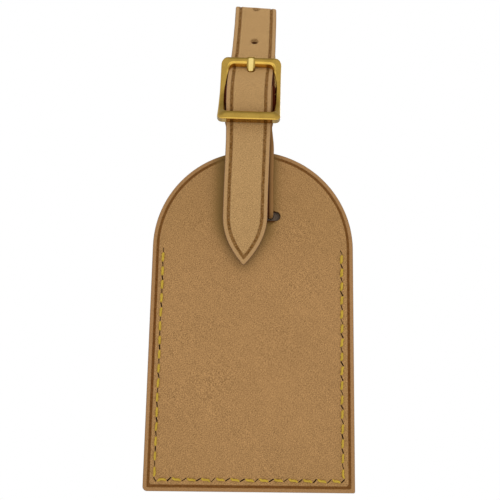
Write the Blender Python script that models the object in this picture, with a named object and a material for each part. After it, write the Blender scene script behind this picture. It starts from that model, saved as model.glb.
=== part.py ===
# Luggage tag: a sewn leather tag with an arched top, held on a leather strap that loops over a handle
# and buckles to itself with a centre-bar buckle.
# Units are metres. X is to the right, +Y is away from the viewer of the front face, +Z is up.
# Sizes are named in millimetres from a datum at the front face of the tag and the top of its arch;
# ORIGIN_Y and ORIGIN_Z move them so that the world origin is the inside top of the strap's loop.
import bpy
import bmesh
import math
from mathutils import Vector
from mathutils.geometry import delaunay_2d_cdt

for old in list(bpy.data.objects):
    bpy.data.objects.remove(old, do_unlink=True)

MM = 0.001

# ---------------------------------------------------------------- driving dimensions (mm)
TAG_W = 65.0                # width of the tag
TAG_H = 108.1               # height of the tag, arch top to bottom edge
ARCH_R = TAG_W / 2          # the arch is a half circle
CORNER_R = 1.2              # bottom corners
LEATHER = 1.4               # thickness of each panel
POCKET = 0.55               # depth of the card pocket
PANEL_GAP = 0.05            # joint line between the two panels
BACK_Y = LEATHER + POCKET + PANEL_GAP   # inner face of the back panel
TAG_T = BACK_Y + LEATHER    # whole thickness of the tag
SLOT_W, SLOT_H = 17.2, 3.3  # slot for the strap
SLOT_Z = -22.1
WINDOW_W, WINDOW_H, WINDOW_R = 43.0, 50.0, 3.0
WINDOW_Z = -71.0            # centre of the window in the back panel
RIM = 5.6                   # width of the sewn margin round the pocket
SEAM_IN = 3.6               # seam line to edge
SEAM_TOP = -34.0            # the seam starts where the arch ends
SIDE_STITCHES, BOTTOM_STITCHES = 16, 13
THREAD_R = 0.3
NEEDLE_W, NEEDLE_L = 0.8, 2.1
FILM_T, CARD_T = 0.2, 0.25
CARD_W, CARD_H = 53.0, 66.0
CARD_BOTTOM = -102.3
STRAP_W, STRAP_T = 14.4, 1.6
TIP_Z = -38.2               # end of the free tail
TAIL_TAPER = 14.5           # length of the pointed end
BAR_Y, BAR_Z, BAR_R = -2.1, 19.3, 1.0   # centre bar of the buckle
FRAME_W = 20.0              # buckle outer width
FRAME_H = 10.65             # centre bar to end bar
FRAME_ARCH = 3.05           # the end bars stand this far in front of the centre bar
FRAME_TILT = math.radians(11.0)
FRAME_CORNER_R = 1.9
RAIL_W, RAIL_T = 2.0, 2.2
BAR_SETBACK = 0.9           # the centre bar ends this far inside the frame's outer faces
PRONG_R = 0.75
PRONG_RING_R, PRONG_RING_W = 1.75, 2.3
PRONG_PLAY = 0.06
PRONG_TIP = 0.72            # the tongue's end is this share of its full size
PRONG_ROUTE = [(BAR_Y, BAR_Z + 1.3), (BAR_Y - 0.15, 23.6), (-4.85, 28.7), (-5.02, 31.6)]
LOOP_Y, LOOP_Z, LOOP_R = 13.6, 53.9, 4.2   # fold at the top of the strap (centre line)
HOLE_R = 1.3                # spare holes of the strap
SECOND_HOLE = 12.6          # from the buckle's top bar along the strap to the second hole
HOLE_PITCH = 17.0
PRONG_HOLE_Y, PRONG_HOLE_Z = -3.02, 25.5   # hole that the prong passes through
PRONG_HOLE_L, PRONG_HOLE_W = 4.6, 2.4
RING_SLOT_W = 3.2           # opening for the prong's ring in the folded end
TAIL_HINGE_Y, TAIL_HINGE_Z = -4.85, 6.6
STITCH_DIP, STITCH_REACH = 1.15, 0.85   # a thread's depth in its hole, and where it comes up beside it
SLACK = 0.5                 # air between the strap and the tag
TACK_Z, TACK_R, TACK_X = 5.0, 0.2, (-4.5, -1.5, 1.5, 4.5)
TACK_HOLE_R, TACK_GROOVE, TACK_SUNK = 0.42, 0.32, 0.42
SMOOTH_ANGLE = math.radians(40.0)
ORIGIN_Y = LOOP_Y
ORIGIN_Z = LOOP_Z + LOOP_R - STRAP_T / 2


# ---------------------------------------------------------------- helpers
def place(x, y, z):
    """Datum millimetres to world metres."""
    return Vector((x * MM, (y - ORIGIN_Y) * MM, (z - ORIGIN_Z) * MM))


def new_object(name, verts, faces):
    mesh = bpy.data.meshes.new(name)
    mesh.from_pydata([tuple(v) for v in verts], [], faces)
    bm = bmesh.new()
    bm.from_mesh(mesh)
    bmesh.ops.remove_doubles(bm, verts=bm.verts, dist=1e-7)
    bmesh.ops.recalc_face_normals(bm, faces=bm.faces)
    bm.to_mesh(mesh)
    bm.free()
    mesh.validate()
    obj = bpy.data.objects.new(name, mesh)
    bpy.context.scene.collection.objects.link(obj)
    return obj


def inside(p, poly):
    hit = False
    n = len(poly)
    for i in range(n):
        a, b = poly[i], poly[(i + 1) % n]
        if (a[1] > p[1]) != (b[1] > p[1]):
            if p[0] < (b[0] - a[0]) * (p[1] - a[1]) / (b[1] - a[1]) + a[0]:
                hit = not hit
    return hit


def prism(name, outer, holes, low, high, axis):
    """Extrudes a flat outline with holes. axis 'Y': outline is (x, z); axis 'X': outline is (y, z)."""
    pts, edges = [], []
    for loop in [outer] + holes:
        start = len(pts)
        pts += [Vector(p) for p in loop]
        edges += [(start + i, start + (i + 1) % len(loop)) for i in range(len(loop))]
    v2, _, tris, *_ = delaunay_2d_cdt(pts, edges, [], 0, 1e-6)
    keep = []
    for t in tris:
        c = (sum(v2[i][0] for i in t) / 3, sum(v2[i][1] for i in t) / 3)
        if inside(c, outer) and not any(inside(c, h) for h in holes):
            keep.append(list(t))
    used = sorted({i for t in keep for i in t})
    slot = {v: k for k, v in enumerate(used)}
    n = len(used)

    def at(p, d):
        return place(p[0], d, p[1]) if axis == 'Y' else place(d, p[0], p[1])

    verts = [at(v2[i], low) for i in used] + [at(v2[i], high) for i in used]
    faces = [[slot[i] for i in t] for t in keep] + [[slot[i] + n for i in reversed(t)] for t in keep]
    count = {}
    for t in keep:
        for i in range(3):
            e = (t[i], t[(i + 1) % 3])
            count[e] = count.get(e, 0) + 1
    for a, b in count:
        if (b, a) not in count:
            faces.append([slot[b], slot[a], slot[a] + n, slot[b] + n])
    return new_object(name, verts, faces)


def cut(target, cutter, operation='DIFFERENCE'):
    mod = target.modifiers.new(operation.lower(), 'BOOLEAN')
    mod.operation = operation
    mod.object = cutter
    mod.solver = 'EXACT'
    depsgraph = bpy.context.evaluated_depsgraph_get()
    mesh = bpy.data.meshes.new_from_object(target.evaluated_get(depsgraph))
    target.modifiers.clear()
    old = target.data
    target.data = mesh
    bpy.data.meshes.remove(old)
    bpy.data.objects.remove(cutter, do_unlink=True)


def clean(obj):
    bm = bmesh.new()
    bm.from_mesh(obj.data)
    bmesh.ops.remove_doubles(bm, verts=bm.verts, dist=2e-6)
    bmesh.ops.dissolve_degenerate(bm, edges=bm.edges, dist=1e-6)
    bmesh.ops.triangulate(bm, faces=bm.faces)
    bmesh.ops.recalc_face_normals(bm, faces=bm.faces)
    bm.to_mesh(obj.data)
    bm.free()


def arc(cx, cz, r, a0, a1, n):
    return [(cx + r * math.cos(a0 + (a1 - a0) * i / n), cz + r * math.sin(a0 + (a1 - a0) * i / n))
            for i in range(n + 1)]


def stadium(cx, cz, length, width, angle=0.0, n=3):
    """Rounded slot outline of the given overall length, turned by angle from horizontal."""
    r = width / 2
    h = length / 2 - r
    raw = arc(h, 0, r, -math.pi / 2, math.pi / 2, n) + arc(-h, 0, r, math.pi / 2, 3 * math.pi / 2, n)
    c, s = math.cos(angle), math.sin(angle)
    return [(cx + x * c - z * s, cz + x * s + z * c) for x, z in raw]


def rounded(points, radii, n=6):
    """Polyline with each inner corner replaced by an arc of the given radius."""
    out = [Vector(points[0])]
    for i in range(1, len(points) - 1):
        p, q, s = Vector(points[i - 1]), Vector(points[i]), Vector(points[i + 1])
        u, v = (p - q).normalized(), (s - q).normalized()
        angle = u.angle(v)
        r = radii[i - 1]
        if r <= 0 or angle > math.pi - 0.01:
            out.append(q)
            continue
        d = r / math.tan(angle / 2)
        centre = q + (u + v).normalized() * (r / math.sin(angle / 2))
        a, b = q + u * d - centre, q + v * d - centre
        a0 = math.atan2(a.y, a.x)
        turn = (math.atan2(b.y, b.x) - a0 + math.pi) % (2 * math.pi) - math.pi
        out += [centre + Vector((math.cos(a0 + turn * k / n), math.sin(a0 + turn * k / n))) * r
                for k in range(n + 1)]
    out.append(Vector(points[-1]))
    return out


def ribbon(path, half):
    """Closed outline of a strip of constant thickness along a path."""
    left, right = [], []
    for i, p in enumerate(path):
        a = path[max(i - 1, 0)]
        b = path[min(i + 1, len(path) - 1)]
        d0 = (p - a).normalized() if i else (b - p).normalized()
        d1 = (b - p).normalized() if i < len(path) - 1 else d0
        t = (d0 + d1).normalized()
        k = half / max(0.5, t.dot(d0))
        nrm = Vector((-t.y, t.x))
        left.append(p + nrm * k)
        right.append(p - nrm * k)
    return [tuple(v) for v in left] + [tuple(v) for v in reversed(right)]


def tube(name, path, radius, sides=6, up=Vector((0, 1, 0))):
    """Round bar along a 3-D path given in datum millimetres."""
    rings = []
    for i, p in enumerate(path):
        a, b = path[max(i - 1, 0)], path[min(i + 1, len(path) - 1)]
        d0 = (p - a).normalized() if i else (b - p).normalized()
        d1 = (b - p).normalized() if i < len(path) - 1 else d0
        t = (d0 + d1).normalized()
        side = t.cross(up).normalized()
        high = side.cross(t).normalized()
        stretch = min(1.6, 1 / max(0.4, t.dot(d0)))
        rings.append([place(*(p + (side * math.cos(a2) + high * math.sin(a2) * stretch) * radius))
                      for a2 in (2 * math.pi * k / sides for k in range(sides))])
    verts = [v for ring in rings for v in ring]
    faces = [list(range(sides))[::-1], [len(verts) - sides + k for k in range(sides)]]
    for i in range(len(rings) - 1):
        for k in range(sides):
            a, b = i * sides + k, i * sides + (k + 1) % sides
            faces.append([a, b, b + sides, a + sides])
    return new_object(name, verts, faces)


def material(name, colour, metallic, roughness, alpha=1.0):
    mat = bpy.data.materials.new(name)
    mat.use_nodes = True
    shader = mat.node_tree.nodes["Principled BSDF"]
    shader.inputs["Base Color"].default_value = (*colour, 1.0)
    shader.inputs["Metallic"].default_value = metallic
    shader.inputs["Roughness"].default_value = roughness
    shader.inputs["Alpha"].default_value = alpha
    return mat


# ---------------------------------------------------------------- the tag's two panels
def outline():
    r, h, c = ARCH_R, -TAG_H, CORNER_R
    pts = arc(0, -ARCH_R, ARCH_R, 0, math.pi, 40)
    pts += arc(-r + c, h + c, c, math.pi, 1.5 * math.pi, 4)
    pts += arc(r - c, h + c, c, 1.5 * math.pi, 2 * math.pi, 4)
    return pts


def seam_points():
    """Needle holes down the left side, along the bottom and up the right side."""
    x, low = ARCH_R - SEAM_IN, -TAG_H + SEAM_IN
    left = [(-x, SEAM_TOP + (low - SEAM_TOP) * i / SIDE_STITCHES) for i in range(SIDE_STITCHES)]
    bottom = [(-x + 2 * x * i / BOTTOM_STITCHES, low) for i in range(BOTTOM_STITCHES)]
    right = [(x, low + (SEAM_TOP - low) * i / SIDE_STITCHES) for i in range(SIDE_STITCHES + 1)]
    return left + bottom + right


SEAM = seam_points()
CORNERS = (SIDE_STITCHES, SIDE_STITCHES + BOTTOM_STITCHES)


def needle_holes():
    holes = []
    for i, (x, z) in enumerate(SEAM):
        if i in CORNERS:
            holes.append(arc(x, z, NEEDLE_L / 2, 0, 2 * math.pi, 8)[:-1])
        else:
            upright = i < CORNERS[0] or i > CORNERS[1]
            holes.append(stadium(x, z, NEEDLE_L, NEEDLE_W, math.pi / 2 if upright else 0.0))
    return holes


slot_hole = stadium(0, SLOT_Z, SLOT_W, SLOT_H, n=8)
front_panel = prism("front_panel", outline(), [slot_hole] + needle_holes(), 0.0, LEATHER + POCKET, 'Y')
px, pz = ARCH_R - RIM, -TAG_H + RIM
pocket = [(-px, pz), (px, pz), (px, SEAM_TOP - 2.0), (ARCH_R + 1, SEAM_TOP + 1.5), (ARCH_R + 1, 2.0),
          (-ARCH_R - 1, 2.0), (-ARCH_R - 1, SEAM_TOP + 1.5), (-px, SEAM_TOP - 2.0)]
cut(front_panel, prism("pocket_cut", pocket, [], LEATHER, TAG_T + 1.0, 'Y'))
clean(front_panel)

wx, wz0, wz1, wr = WINDOW_W / 2, WINDOW_Z - WINDOW_H / 2, WINDOW_Z + WINDOW_H / 2, WINDOW_R
window = (arc(wx - wr, wz1 - wr, wr, 0, math.pi / 2, 4) + arc(-wx + wr, wz1 - wr, wr, math.pi / 2, math.pi, 4)
          + arc(-wx + wr, wz0 + wr, wr, math.pi, 1.5 * math.pi, 4)
          + arc(wx - wr, wz0 + wr, wr, 1.5 * math.pi, 2 * math.pi, 4))
back_panel = prism("back_panel", outline(), [slot_hole, window] + needle_holes(), BACK_Y, TAG_T, 'Y')
clean(back_panel)


def plate(name, x0, x1, y0, y1, z0, z1):
    return prism(name, [(x0, z0), (x1, z0), (x1, z1), (x0, z1)], [], y0, y1, 'Y')


FILM_Y1 = BACK_Y - 0.02
window_film = plate("window_film", -25.0, 25.0, FILM_Y1 - FILM_T, FILM_Y1, -100.0, -42.5)
CARD_Y0 = LEATHER + 0.06
address_card = plate("address_card", -CARD_W / 2, CARD_W / 2, CARD_Y0, CARD_Y0 + CARD_T,
                     CARD_BOTTOM, CARD_BOTTOM + CARD_H)


def thread(name, surface, sign):
    """One thread lying on a face between needle holes and dipping into each of them."""
    r = THREAD_R
    out = surface - sign * (r + 0.02)
    deep = surface + sign * STITCH_DIP
    path = []
    last = len(SEAM) - 1
    for i, (x, z) in enumerate(SEAM):
        here = Vector((x, 0, z))
        if i > 0:
            d = (Vector((SEAM[i - 1][0], 0, SEAM[i - 1][1])) - here).normalized()
            q = here + d * STITCH_REACH
            path.append(Vector((q.x, out, q.z)))
        path.append(Vector((x, deep, z)))
        if i < last:
            d = (Vector((SEAM[i + 1][0], 0, SEAM[i + 1][1])) - here).normalized()
            q = here + d * STITCH_REACH
            path.append(Vector((q.x, out, q.z)))
    return tube(name, path, r)


seam_thread = thread("seam_thread", 0.0, 1.0)
bobbin_thread = thread("bobbin_thread", TAG_T, -1.0)

# ---------------------------------------------------------------- the strap
half = STRAP_T / 2
RETURN_TOP, RETURN_FOOT = -0.98, -0.56   # folded end, behind the run in front of the tag
wrap_r = BAR_R + 0.1 + half
upper_lean = math.atan(0.409)               # the run above the buckle leans back
top_y, top_z = -0.72, 29.2                  # behind the buckle's top bar
front_run = [
    (TAIL_HINGE_Y, TAIL_HINGE_Z + half + 0.1),
    (TAIL_HINGE_Y, 9.4),
    (-5.75, 15.8),
    (-5.75, 20.6),
    (top_y, top_z),
]
fold_front = (LOOP_Y - LOOP_R * math.cos(upper_lean), LOOP_Z + LOOP_R * math.sin(upper_lean))
run_a = rounded(front_run + [fold_front], [6.0, 6.0, 5.0, 8.0], 5)[:-1]
fold = [Vector(p) for p in arc(LOOP_Y, LOOP_Z, LOOP_R, math.pi - upper_lean, 0.0, 14)]
slot_run = SLOT_Z + SLOT_H / 2 - SLACK - half   # the tag hangs on this run
rear_foot = -SLACK - half
back_run = [
    (LOOP_Y + LOOP_R, LOOP_Z),
    (LOOP_Y + LOOP_R + 0.6, 34.0),
    (13.6, 4.0),
    (TAG_T + SLACK + half, -14.5),
    (TAG_T + SLACK + half, slot_run),
    (rear_foot, slot_run),
    (rear_foot, -18.0),
    (-2.9, 9.4),
    (BAR_Y - wrap_r, BAR_Z - 1.6),
    (BAR_Y - wrap_r, BAR_Z),
]
run_b = rounded(back_run, [60.0, 60.0, 12.0, half + 0.45, half + 0.45, 10.0, 14.0, 3.0], 6)[1:-1]
wrap = [Vector(p) for p in arc(BAR_Y, BAR_Z, wrap_r, math.pi, 0.0, 12)]
return_run = rounded([(BAR_Y + wrap_r, BAR_Z), (BAR_Y + wrap_r, BAR_Z - 1.6), (RETURN_TOP, 9.4),
                      (RETURN_FOOT, 2.4)], [3.0, 14.0], 5)[1:]
strap_path = run_a + fold + run_b + wrap + return_run
strap = prism("strap", ribbon(strap_path, half), [], -STRAP_W / 2, STRAP_W / 2, 'X')


def cylinder(name, y, z, r, x0, x1, n=24):
    return prism(name, arc(y, z, r, 0, 2 * math.pi, n)[:-1], [], x0, x1, 'X')


# opening in the folded end for the prong's ring
cut(strap, cylinder("prong_slot_cut", BAR_Y, BAR_Z, wrap_r + half + 0.08, -RING_SLOT_W / 2, RING_SLOT_W / 2))


def punch(target, y, z, lean, length, width, depth=1.4):
    """Punches a round or long hole square to the strap; lean is the strap's angle back from vertical."""
    cutter = prism("punch", stadium(0, 0, length, width, math.pi / 2, 6), [], -depth, depth, 'Y')
    for v in cutter.data.vertices:
        x, dy, dz = v.co.x, v.co.y + ORIGIN_Y * MM, v.co.z + ORIGIN_Z * MM
        c, s = math.cos(lean), math.sin(lean)
        v.co = place(x / MM, y + (dy * c + dz * s) / MM, z + (-dy * s + dz * c) / MM)
    cut(target, cutter)


def along(path, start, distance):
    """Point and lean at a distance along the strap, measured from the point nearest start."""
    i = min(range(len(path)), key=lambda k: (path[k] - Vector(start)).length)
    p = path[i]
    while True:
        q = path[i + 1]
        step = (q - p).length
        if step >= distance:
            d = (q - p).normalized()
            return p + d * distance, math.atan2(d.x, d.y)
        distance -= step
        p = q
        i += 1


buckle_lean = math.atan2(top_y - front_run[-2][0], top_z - front_run[-2][1])
punch(strap, PRONG_HOLE_Y, PRONG_HOLE_Z, buckle_lean, PRONG_HOLE_L, PRONG_HOLE_W)
for distance in (SECOND_HOLE, SECOND_HOLE + HOLE_PITCH):
    centre, tilt = along(run_a + fold, (top_y, top_z), distance)
    punch(strap, centre.x, centre.y, tilt, 2 * HOLE_R, 2 * HOLE_R)


# row of stitches that holds the folded end to the strap

def run_y(z):
    """Centre line of the run in front of the tag at a height."""
    return rear_foot + (-2.9 - rear_foot) * (z + 18.0) / 27.4


def return_y(z):
    return RETURN_FOOT + (RETURN_TOP - RETURN_FOOT) * (z - 2.4) / 7.0


tack_front = run_y(TACK_Z) - half
tack_back = return_y(TACK_Z) + half
for x in TACK_X:
    needle = prism("needle", arc(x, TACK_Z, TACK_HOLE_R, 0, 2 * math.pi, 8)[:-1], [], tack_front - 1, tack_back + 1, 'Y')
    # the free run in front is not pierced
    for v in needle.data.vertices:
        y = v.co.y / MM + ORIGIN_Y
        if y < tack_front:
            v.co.y = (tack_front - 0.1 - ORIGIN_Y) * MM
    cut(strap, needle)
cut(strap, plate("groove_a", TACK_X[0], TACK_X[3], tack_front - 0.1, tack_front + TACK_SUNK,
                 TACK_Z - TACK_GROOVE, TACK_Z + TACK_GROOVE))
cut(strap, plate("groove_b", TACK_X[0], TACK_X[3], tack_back - TACK_SUNK, tack_back + 0.5,
                 TACK_Z - TACK_GROOVE, TACK_Z + TACK_GROOVE))
clean(strap)
fy, by = tack_front + TACK_SUNK - TACK_R, tack_back - TACK_SUNK + TACK_R
tack = rounded([(TACK_X[0], (fy + by) / 2), (TACK_X[0], fy), (TACK_X[1], fy), (TACK_X[1], by), (TACK_X[2], by),
                (TACK_X[2], fy), (TACK_X[3], fy), (TACK_X[3], (fy + by) / 2)], [0.25] * 6, 3)
strap_stitch = tube("strap_stitch", [Vector((p.x, p.y, TACK_Z)) for p in tack], TACK_R, 6, Vector((0, 0, 1)))

# the free end below the buckle
tail_line = rounded([(TAIL_HINGE_Y, TAIL_HINGE_Z), (-3.25, -20.5), (-1.75, TIP_Z)], [25.0], 6)
tail_dir = (tail_line[1] - tail_line[0]).normalized()
side_view = ribbon(tail_line, half)
front_angle = math.atan2(-tail_dir.x, tail_dir.y) % (2 * math.pi)
round_end = arc(TAIL_HINGE_Y, TAIL_HINGE_Z, half, front_angle, front_angle - math.pi, 8)[1:-1]
strap_tail = prism("strap_tail", side_view + round_end, [], -STRAP_W / 2, STRAP_W / 2, 'X')
hw = STRAP_W / 2
taper = [(hw, TIP_Z + TAIL_TAPER), (hw * 0.97, TIP_Z + TAIL_TAPER * 0.72), (hw * 0.84, TIP_Z + TAIL_TAPER * 0.48),
         (hw * 0.60, TIP_Z + TAIL_TAPER * 0.26), (hw * 0.30, TIP_Z + TAIL_TAPER * 0.09), (0.7, TIP_Z + 0.15)]
bullet = ([(hw + 1, TAIL_HINGE_Z + 3)] + [(hw + 1, TIP_Z + TAIL_TAPER)] + taper
          + [(-x, z) for x, z in reversed(taper)] + [(-hw - 1, TIP_Z + TAIL_TAPER), (-hw - 1, TAIL_HINGE_Z + 3)])
cut(strap_tail, prism("bullet", bullet, [], -9.0, 3.0, 'Y'), 'INTERSECT')
clean(strap_tail)

# ---------------------------------------------------------------- the buckle
def frame_point(x, y, z):
    """Buckle coordinates (y forward is negative, z along the frame) to datum coordinates."""
    c, s = math.cos(FRAME_TILT), math.sin(FRAME_TILT)
    return Vector((x, BAR_Y + y * c + z * s, BAR_Z - y * s + z * c))


def buckle_ring():
    hx, hz, r = FRAME_W / 2 - RAIL_W / 2, FRAME_H, FRAME_CORNER_R
    pts = []
    for cx, cz2, a0 in ((hx - r, hz - r, 0), (-hx + r, hz - r, 90), (-hx + r, -hz + r, 180), (hx - r, -hz + r, 270)):
        pts += arc(cx, cz2, r, math.radians(a0), math.radians(a0 + 90), 4)
    loop = []
    n = len(pts)
    for i in range(n):
        a, b = pts[i], pts[(i + 1) % n]
        loop.append(a)
        if abs(a[0] - b[0]) < 1e-6 and abs(a[1] - b[1]) > 4:
            loop += [(a[0], a[1] + (b[1] - a[1]) * k / 8) for k in range(1, 8)]
    section = [(-0.5, -0.28), (-0.28, -0.5), (0.28, -0.5), (0.5, -0.28), (0.5, 0.3), (0.3, 0.5), (-0.3, 0.5), (-0.5, 0.3)]
    verts, faces = [], []
    m = len(loop)
    for i, p in enumerate(loop):
        a, b = Vector(loop[i - 1]), Vector(loop[(i + 1) % m])
        t = (b - a).normalized()
        nrm = Vector((t.y, -t.x))
        bow = -FRAME_ARCH * (p[1] / FRAME_H) ** 2
        for u, v in section:
            q = Vector(p) + nrm * (u * RAIL_W)
            verts.append(place(*frame_point(q.x, bow + v * RAIL_T, q.y)))
    k = len(section)
    for i in range(m):
        for j in range(k):
            a, b = i * k + j, i * k + (j + 1) % k
            c, d = ((i + 1) % m) * k + (j + 1) % k, ((i + 1) % m) * k + j
            faces.append([a, b, c, d])
    return new_object("buckle_frame", verts, faces)


buckle_frame = buckle_ring()
bar = cylinder("bar", BAR_Y, BAR_Z, BAR_R, -FRAME_W / 2 + BAR_SETBACK, FRAME_W / 2 - BAR_SETBACK, 20)
cut(buckle_frame, bar, 'UNION')
clean(buckle_frame)

buckle_prong = cylinder("buckle_prong", BAR_Y, BAR_Z, PRONG_RING_R, -PRONG_RING_W / 2, PRONG_RING_W / 2, 24)
shaft = rounded(PRONG_ROUTE, [3.0, 3.0], 6)
rings, verts, faces = len(shaft), [], []
sides = 10
for i, p in enumerate(shaft):
    a, b = shaft[max(i - 1, 0)], shaft[min(i + 1, rings - 1)]
    t = (b - a).normalized()
    nrm = Vector((-t.y, t.x))
    radius = PRONG_R * (1.0 if i < rings - 1 else PRONG_TIP)
    for k in range(sides):
        a2 = 2 * math.pi * k / sides
        q = p + nrm * (radius * math.sin(a2))
        verts.append(place(radius * math.cos(a2), q.x, q.y))
for i in range(rings - 1):
    for k in range(sides):
        nxt = (k + 1) % sides
        faces.append([i * sides + k, i * sides + nxt, (i + 1) * sides + nxt, (i + 1) * sides + k])
faces += [list(range(sides))[::-1], [(rings - 1) * sides + k for k in range(sides)]]
cut(buckle_prong, new_object("shaft", verts, faces), 'UNION')
cut(buckle_prong, cylinder("bore", BAR_Y, BAR_Z, BAR_R + PRONG_PLAY, -3.0, 3.0, 24))
clean(buckle_prong)


# ---------------------------------------------------------------- the strap's slight lean
def lean(obj, knots):
    """Moves each point sideways by an amount that depends only on its height."""
    for v in obj.data.vertices:
        z = v.co.z / MM + ORIGIN_Z
        if z <= knots[0][0]:
            dx = knots[0][1]
        elif z >= knots[-1][0]:
            dx = knots[-1][1]
        else:
            i = next(k for k in range(len(knots) - 1) if knots[k + 1][0] > z)
            (z0, a), (z1, b) = knots[i], knots[i + 1]
            dx = a + (b - a) * (z - z0) / (z1 - z0)
        v.co.x += dx * MM


STRAP_LEAN = [(-22.0, -0.8), (0.0, -1.4), (8.0, -2.2), (24.0, -2.1), (32.0, -1.3), (57.0, 0.0)]
lean(strap, STRAP_LEAN)
lean(strap_stitch, STRAP_LEAN)
lean(strap_tail, [(-38.0, -2.9), (7.0, -2.3)])
lean(buckle_frame, [(8.0, -2.35), (31.0, -1.95)])
lean(buckle_prong, [(18.0, -2.1), (31.0, -1.95)])


# ---------------------------------------------------------------- origins on the joints' axes
def put_origin(obj, x, y, z):
    """Moves an object's origin to a point on its hinge without moving its shape."""
    point = place(x, y, z)
    for v in obj.data.vertices:
        v.co -= point
    obj.location = point


STRAP_MIDDLE_X = -2.1
put_origin(strap_tail, STRAP_MIDDLE_X, TAIL_HINGE_Y, TAIL_HINGE_Z)
put_origin(buckle_frame, STRAP_MIDDLE_X, BAR_Y, BAR_Z)
put_origin(buckle_prong, STRAP_MIDDLE_X, BAR_Y, BAR_Z)
for piece in (front_panel, back_panel, window_film, address_card, seam_thread, bobbin_thread):
    put_origin(piece, 0, TAG_T / 2, SLOT_Z + SLOT_H / 2)

# ---------------------------------------------------------------- materials
LEATHER_TAN = (0.37, 0.195, 0.082)
for obj, mat in (
    (front_panel, material("tag_leather", LEATHER_TAN, 0.0, 0.55)),
    (back_panel, material("back_leather", (0.33, 0.17, 0.07), 0.0, 0.6)),
    (window_film, material("clear_film", (0.85, 0.87, 0.88), 0.0, 0.1, 0.3)),
    (address_card, material("card_stock", (0.85, 0.83, 0.78), 0.0, 0.8)),
    (seam_thread, material("seam_thread_yarn", (0.52, 0.32, 0.07), 0.0, 0.7)),
    (bobbin_thread, material("bobbin_thread_yarn", (0.48, 0.29, 0.07), 0.0, 0.7)),
    (strap, material("strap_leather", (0.42, 0.24, 0.105), 0.0, 0.5)),
    (strap_tail, material("tail_leather", (0.42, 0.24, 0.105), 0.0, 0.5)),
    (strap_stitch, material("strap_thread_yarn", (0.5, 0.3, 0.07), 0.0, 0.7)),
    (buckle_frame, material("buckle_brass", (0.62, 0.47, 0.18), 1.0, 0.35)),
    (buckle_prong, material("prong_brass", (0.68, 0.53, 0.22), 1.0, 0.3)),
):
    obj.data.materials.clear()
    obj.data.materials.append(mat)

# the threads and the brass are round
for obj in (seam_thread, bobbin_thread, strap_stitch, buckle_frame, buckle_prong):
    obj.data.shade_smooth()
    obj.data.set_sharp_from_angle(angle=SMOOTH_ANGLE)
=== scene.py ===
# Looks of the leather luggage tag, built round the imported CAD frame.
# Lengths are millimetres from the datum of the CAD part: the front face of the tag (y = 0) and the top of
# its arch (z = 0). at() turns them into world metres.
import bmesh
import bpy
import math
import random
import numpy as np
from mathutils import Matrix, Vector, noise
from mathutils.geometry import delaunay_2d_cdt


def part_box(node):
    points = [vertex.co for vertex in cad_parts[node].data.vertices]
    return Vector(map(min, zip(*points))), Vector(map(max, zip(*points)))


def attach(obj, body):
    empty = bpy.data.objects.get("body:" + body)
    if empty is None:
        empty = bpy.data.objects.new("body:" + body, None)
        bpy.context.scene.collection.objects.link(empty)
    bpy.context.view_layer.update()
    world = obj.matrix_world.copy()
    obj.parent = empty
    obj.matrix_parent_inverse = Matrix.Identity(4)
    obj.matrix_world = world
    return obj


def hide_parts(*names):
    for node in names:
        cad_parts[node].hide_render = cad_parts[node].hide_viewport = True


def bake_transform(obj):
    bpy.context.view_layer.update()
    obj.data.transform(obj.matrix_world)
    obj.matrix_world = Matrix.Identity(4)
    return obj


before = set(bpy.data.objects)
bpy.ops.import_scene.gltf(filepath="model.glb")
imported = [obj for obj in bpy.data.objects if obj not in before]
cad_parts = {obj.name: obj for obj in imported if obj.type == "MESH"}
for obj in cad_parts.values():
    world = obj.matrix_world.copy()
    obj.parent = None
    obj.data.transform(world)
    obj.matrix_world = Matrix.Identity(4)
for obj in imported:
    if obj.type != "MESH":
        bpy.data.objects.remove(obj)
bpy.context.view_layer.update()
rng = random.Random(11)
MM = 0.001

panel_low, panel_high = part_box("front_panel")
FACE_Y, TOP_Z = panel_low.y, panel_high.z

# ---- sizes repeated from the CAD part (mm)
TAG_W = (panel_high.x - panel_low.x) / MM
TAG_H = (panel_high.z - panel_low.z) / MM
ARCH_R = TAG_W / 2
LEATHER, POCKET, BACK_Y = 1.4, 0.55, 2.0
TAG_T = BACK_Y + LEATHER
SLOT_W, SLOT_H, SLOT_Z = 17.2, 3.3, -22.1
WINDOW_W, WINDOW_H, WINDOW_R, WINDOW_Z = 43.0, 50.0, 3.0, -71.0
RIM, SEAM_IN, SEAM_TOP = 5.6, 3.6, -34.0
SIDE_STITCHES, BOTTOM_STITCHES = 16, 13
STRAP_W, STRAP_T = 14.4, 1.6
TIP_Z = -38.5
BAR_Y, BAR_Z, BAR_R = -2.1, 19.3, 1.0
FRAME_H, FRAME_ARCH, FRAME_TILT = 10.65, 3.05, math.radians(11.0)
LOOP_Y, LOOP_Z, LOOP_R = 13.6, 53.9, 4.2
HINGE_Y, HINGE_Z = -4.85, 6.6
CARD_Y, CARD_T, CARD_W, CARD_H, CARD_BOTTOM = 1.46, 0.25, 53.0, 66.0, -102.3
FILM_Y, FILM_T = 1.78, 0.2


def at(x, y, z):
    return Vector((x * MM, FACE_Y + y * MM, TOP_Z + z * MM))


def at_all(p):
    """Datum millimetres to world metres for an N x 3 array."""
    return p * MM + np.array([0.0, FACE_Y, TOP_Z])


# ---- flat shapes
def arc(cx, cy, r, a0, a1, n):
    a = np.radians(np.linspace(a0, a1, n + 1))
    return np.column_stack([cx + r * np.cos(a), cy + r * np.sin(a)])


def stadium(cx, cy, length, width, angle=0.0, n=5):
    r, h = width / 2, length / 2 - width / 2
    raw = np.vstack([arc(h, 0, r, -90, 90, n), arc(-h, 0, r, 90, 270, n)])
    c, s = math.cos(angle), math.sin(angle)
    return np.column_stack([cx + raw[:, 0] * c - raw[:, 1] * s, cy + raw[:, 0] * s + raw[:, 1] * c])


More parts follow.
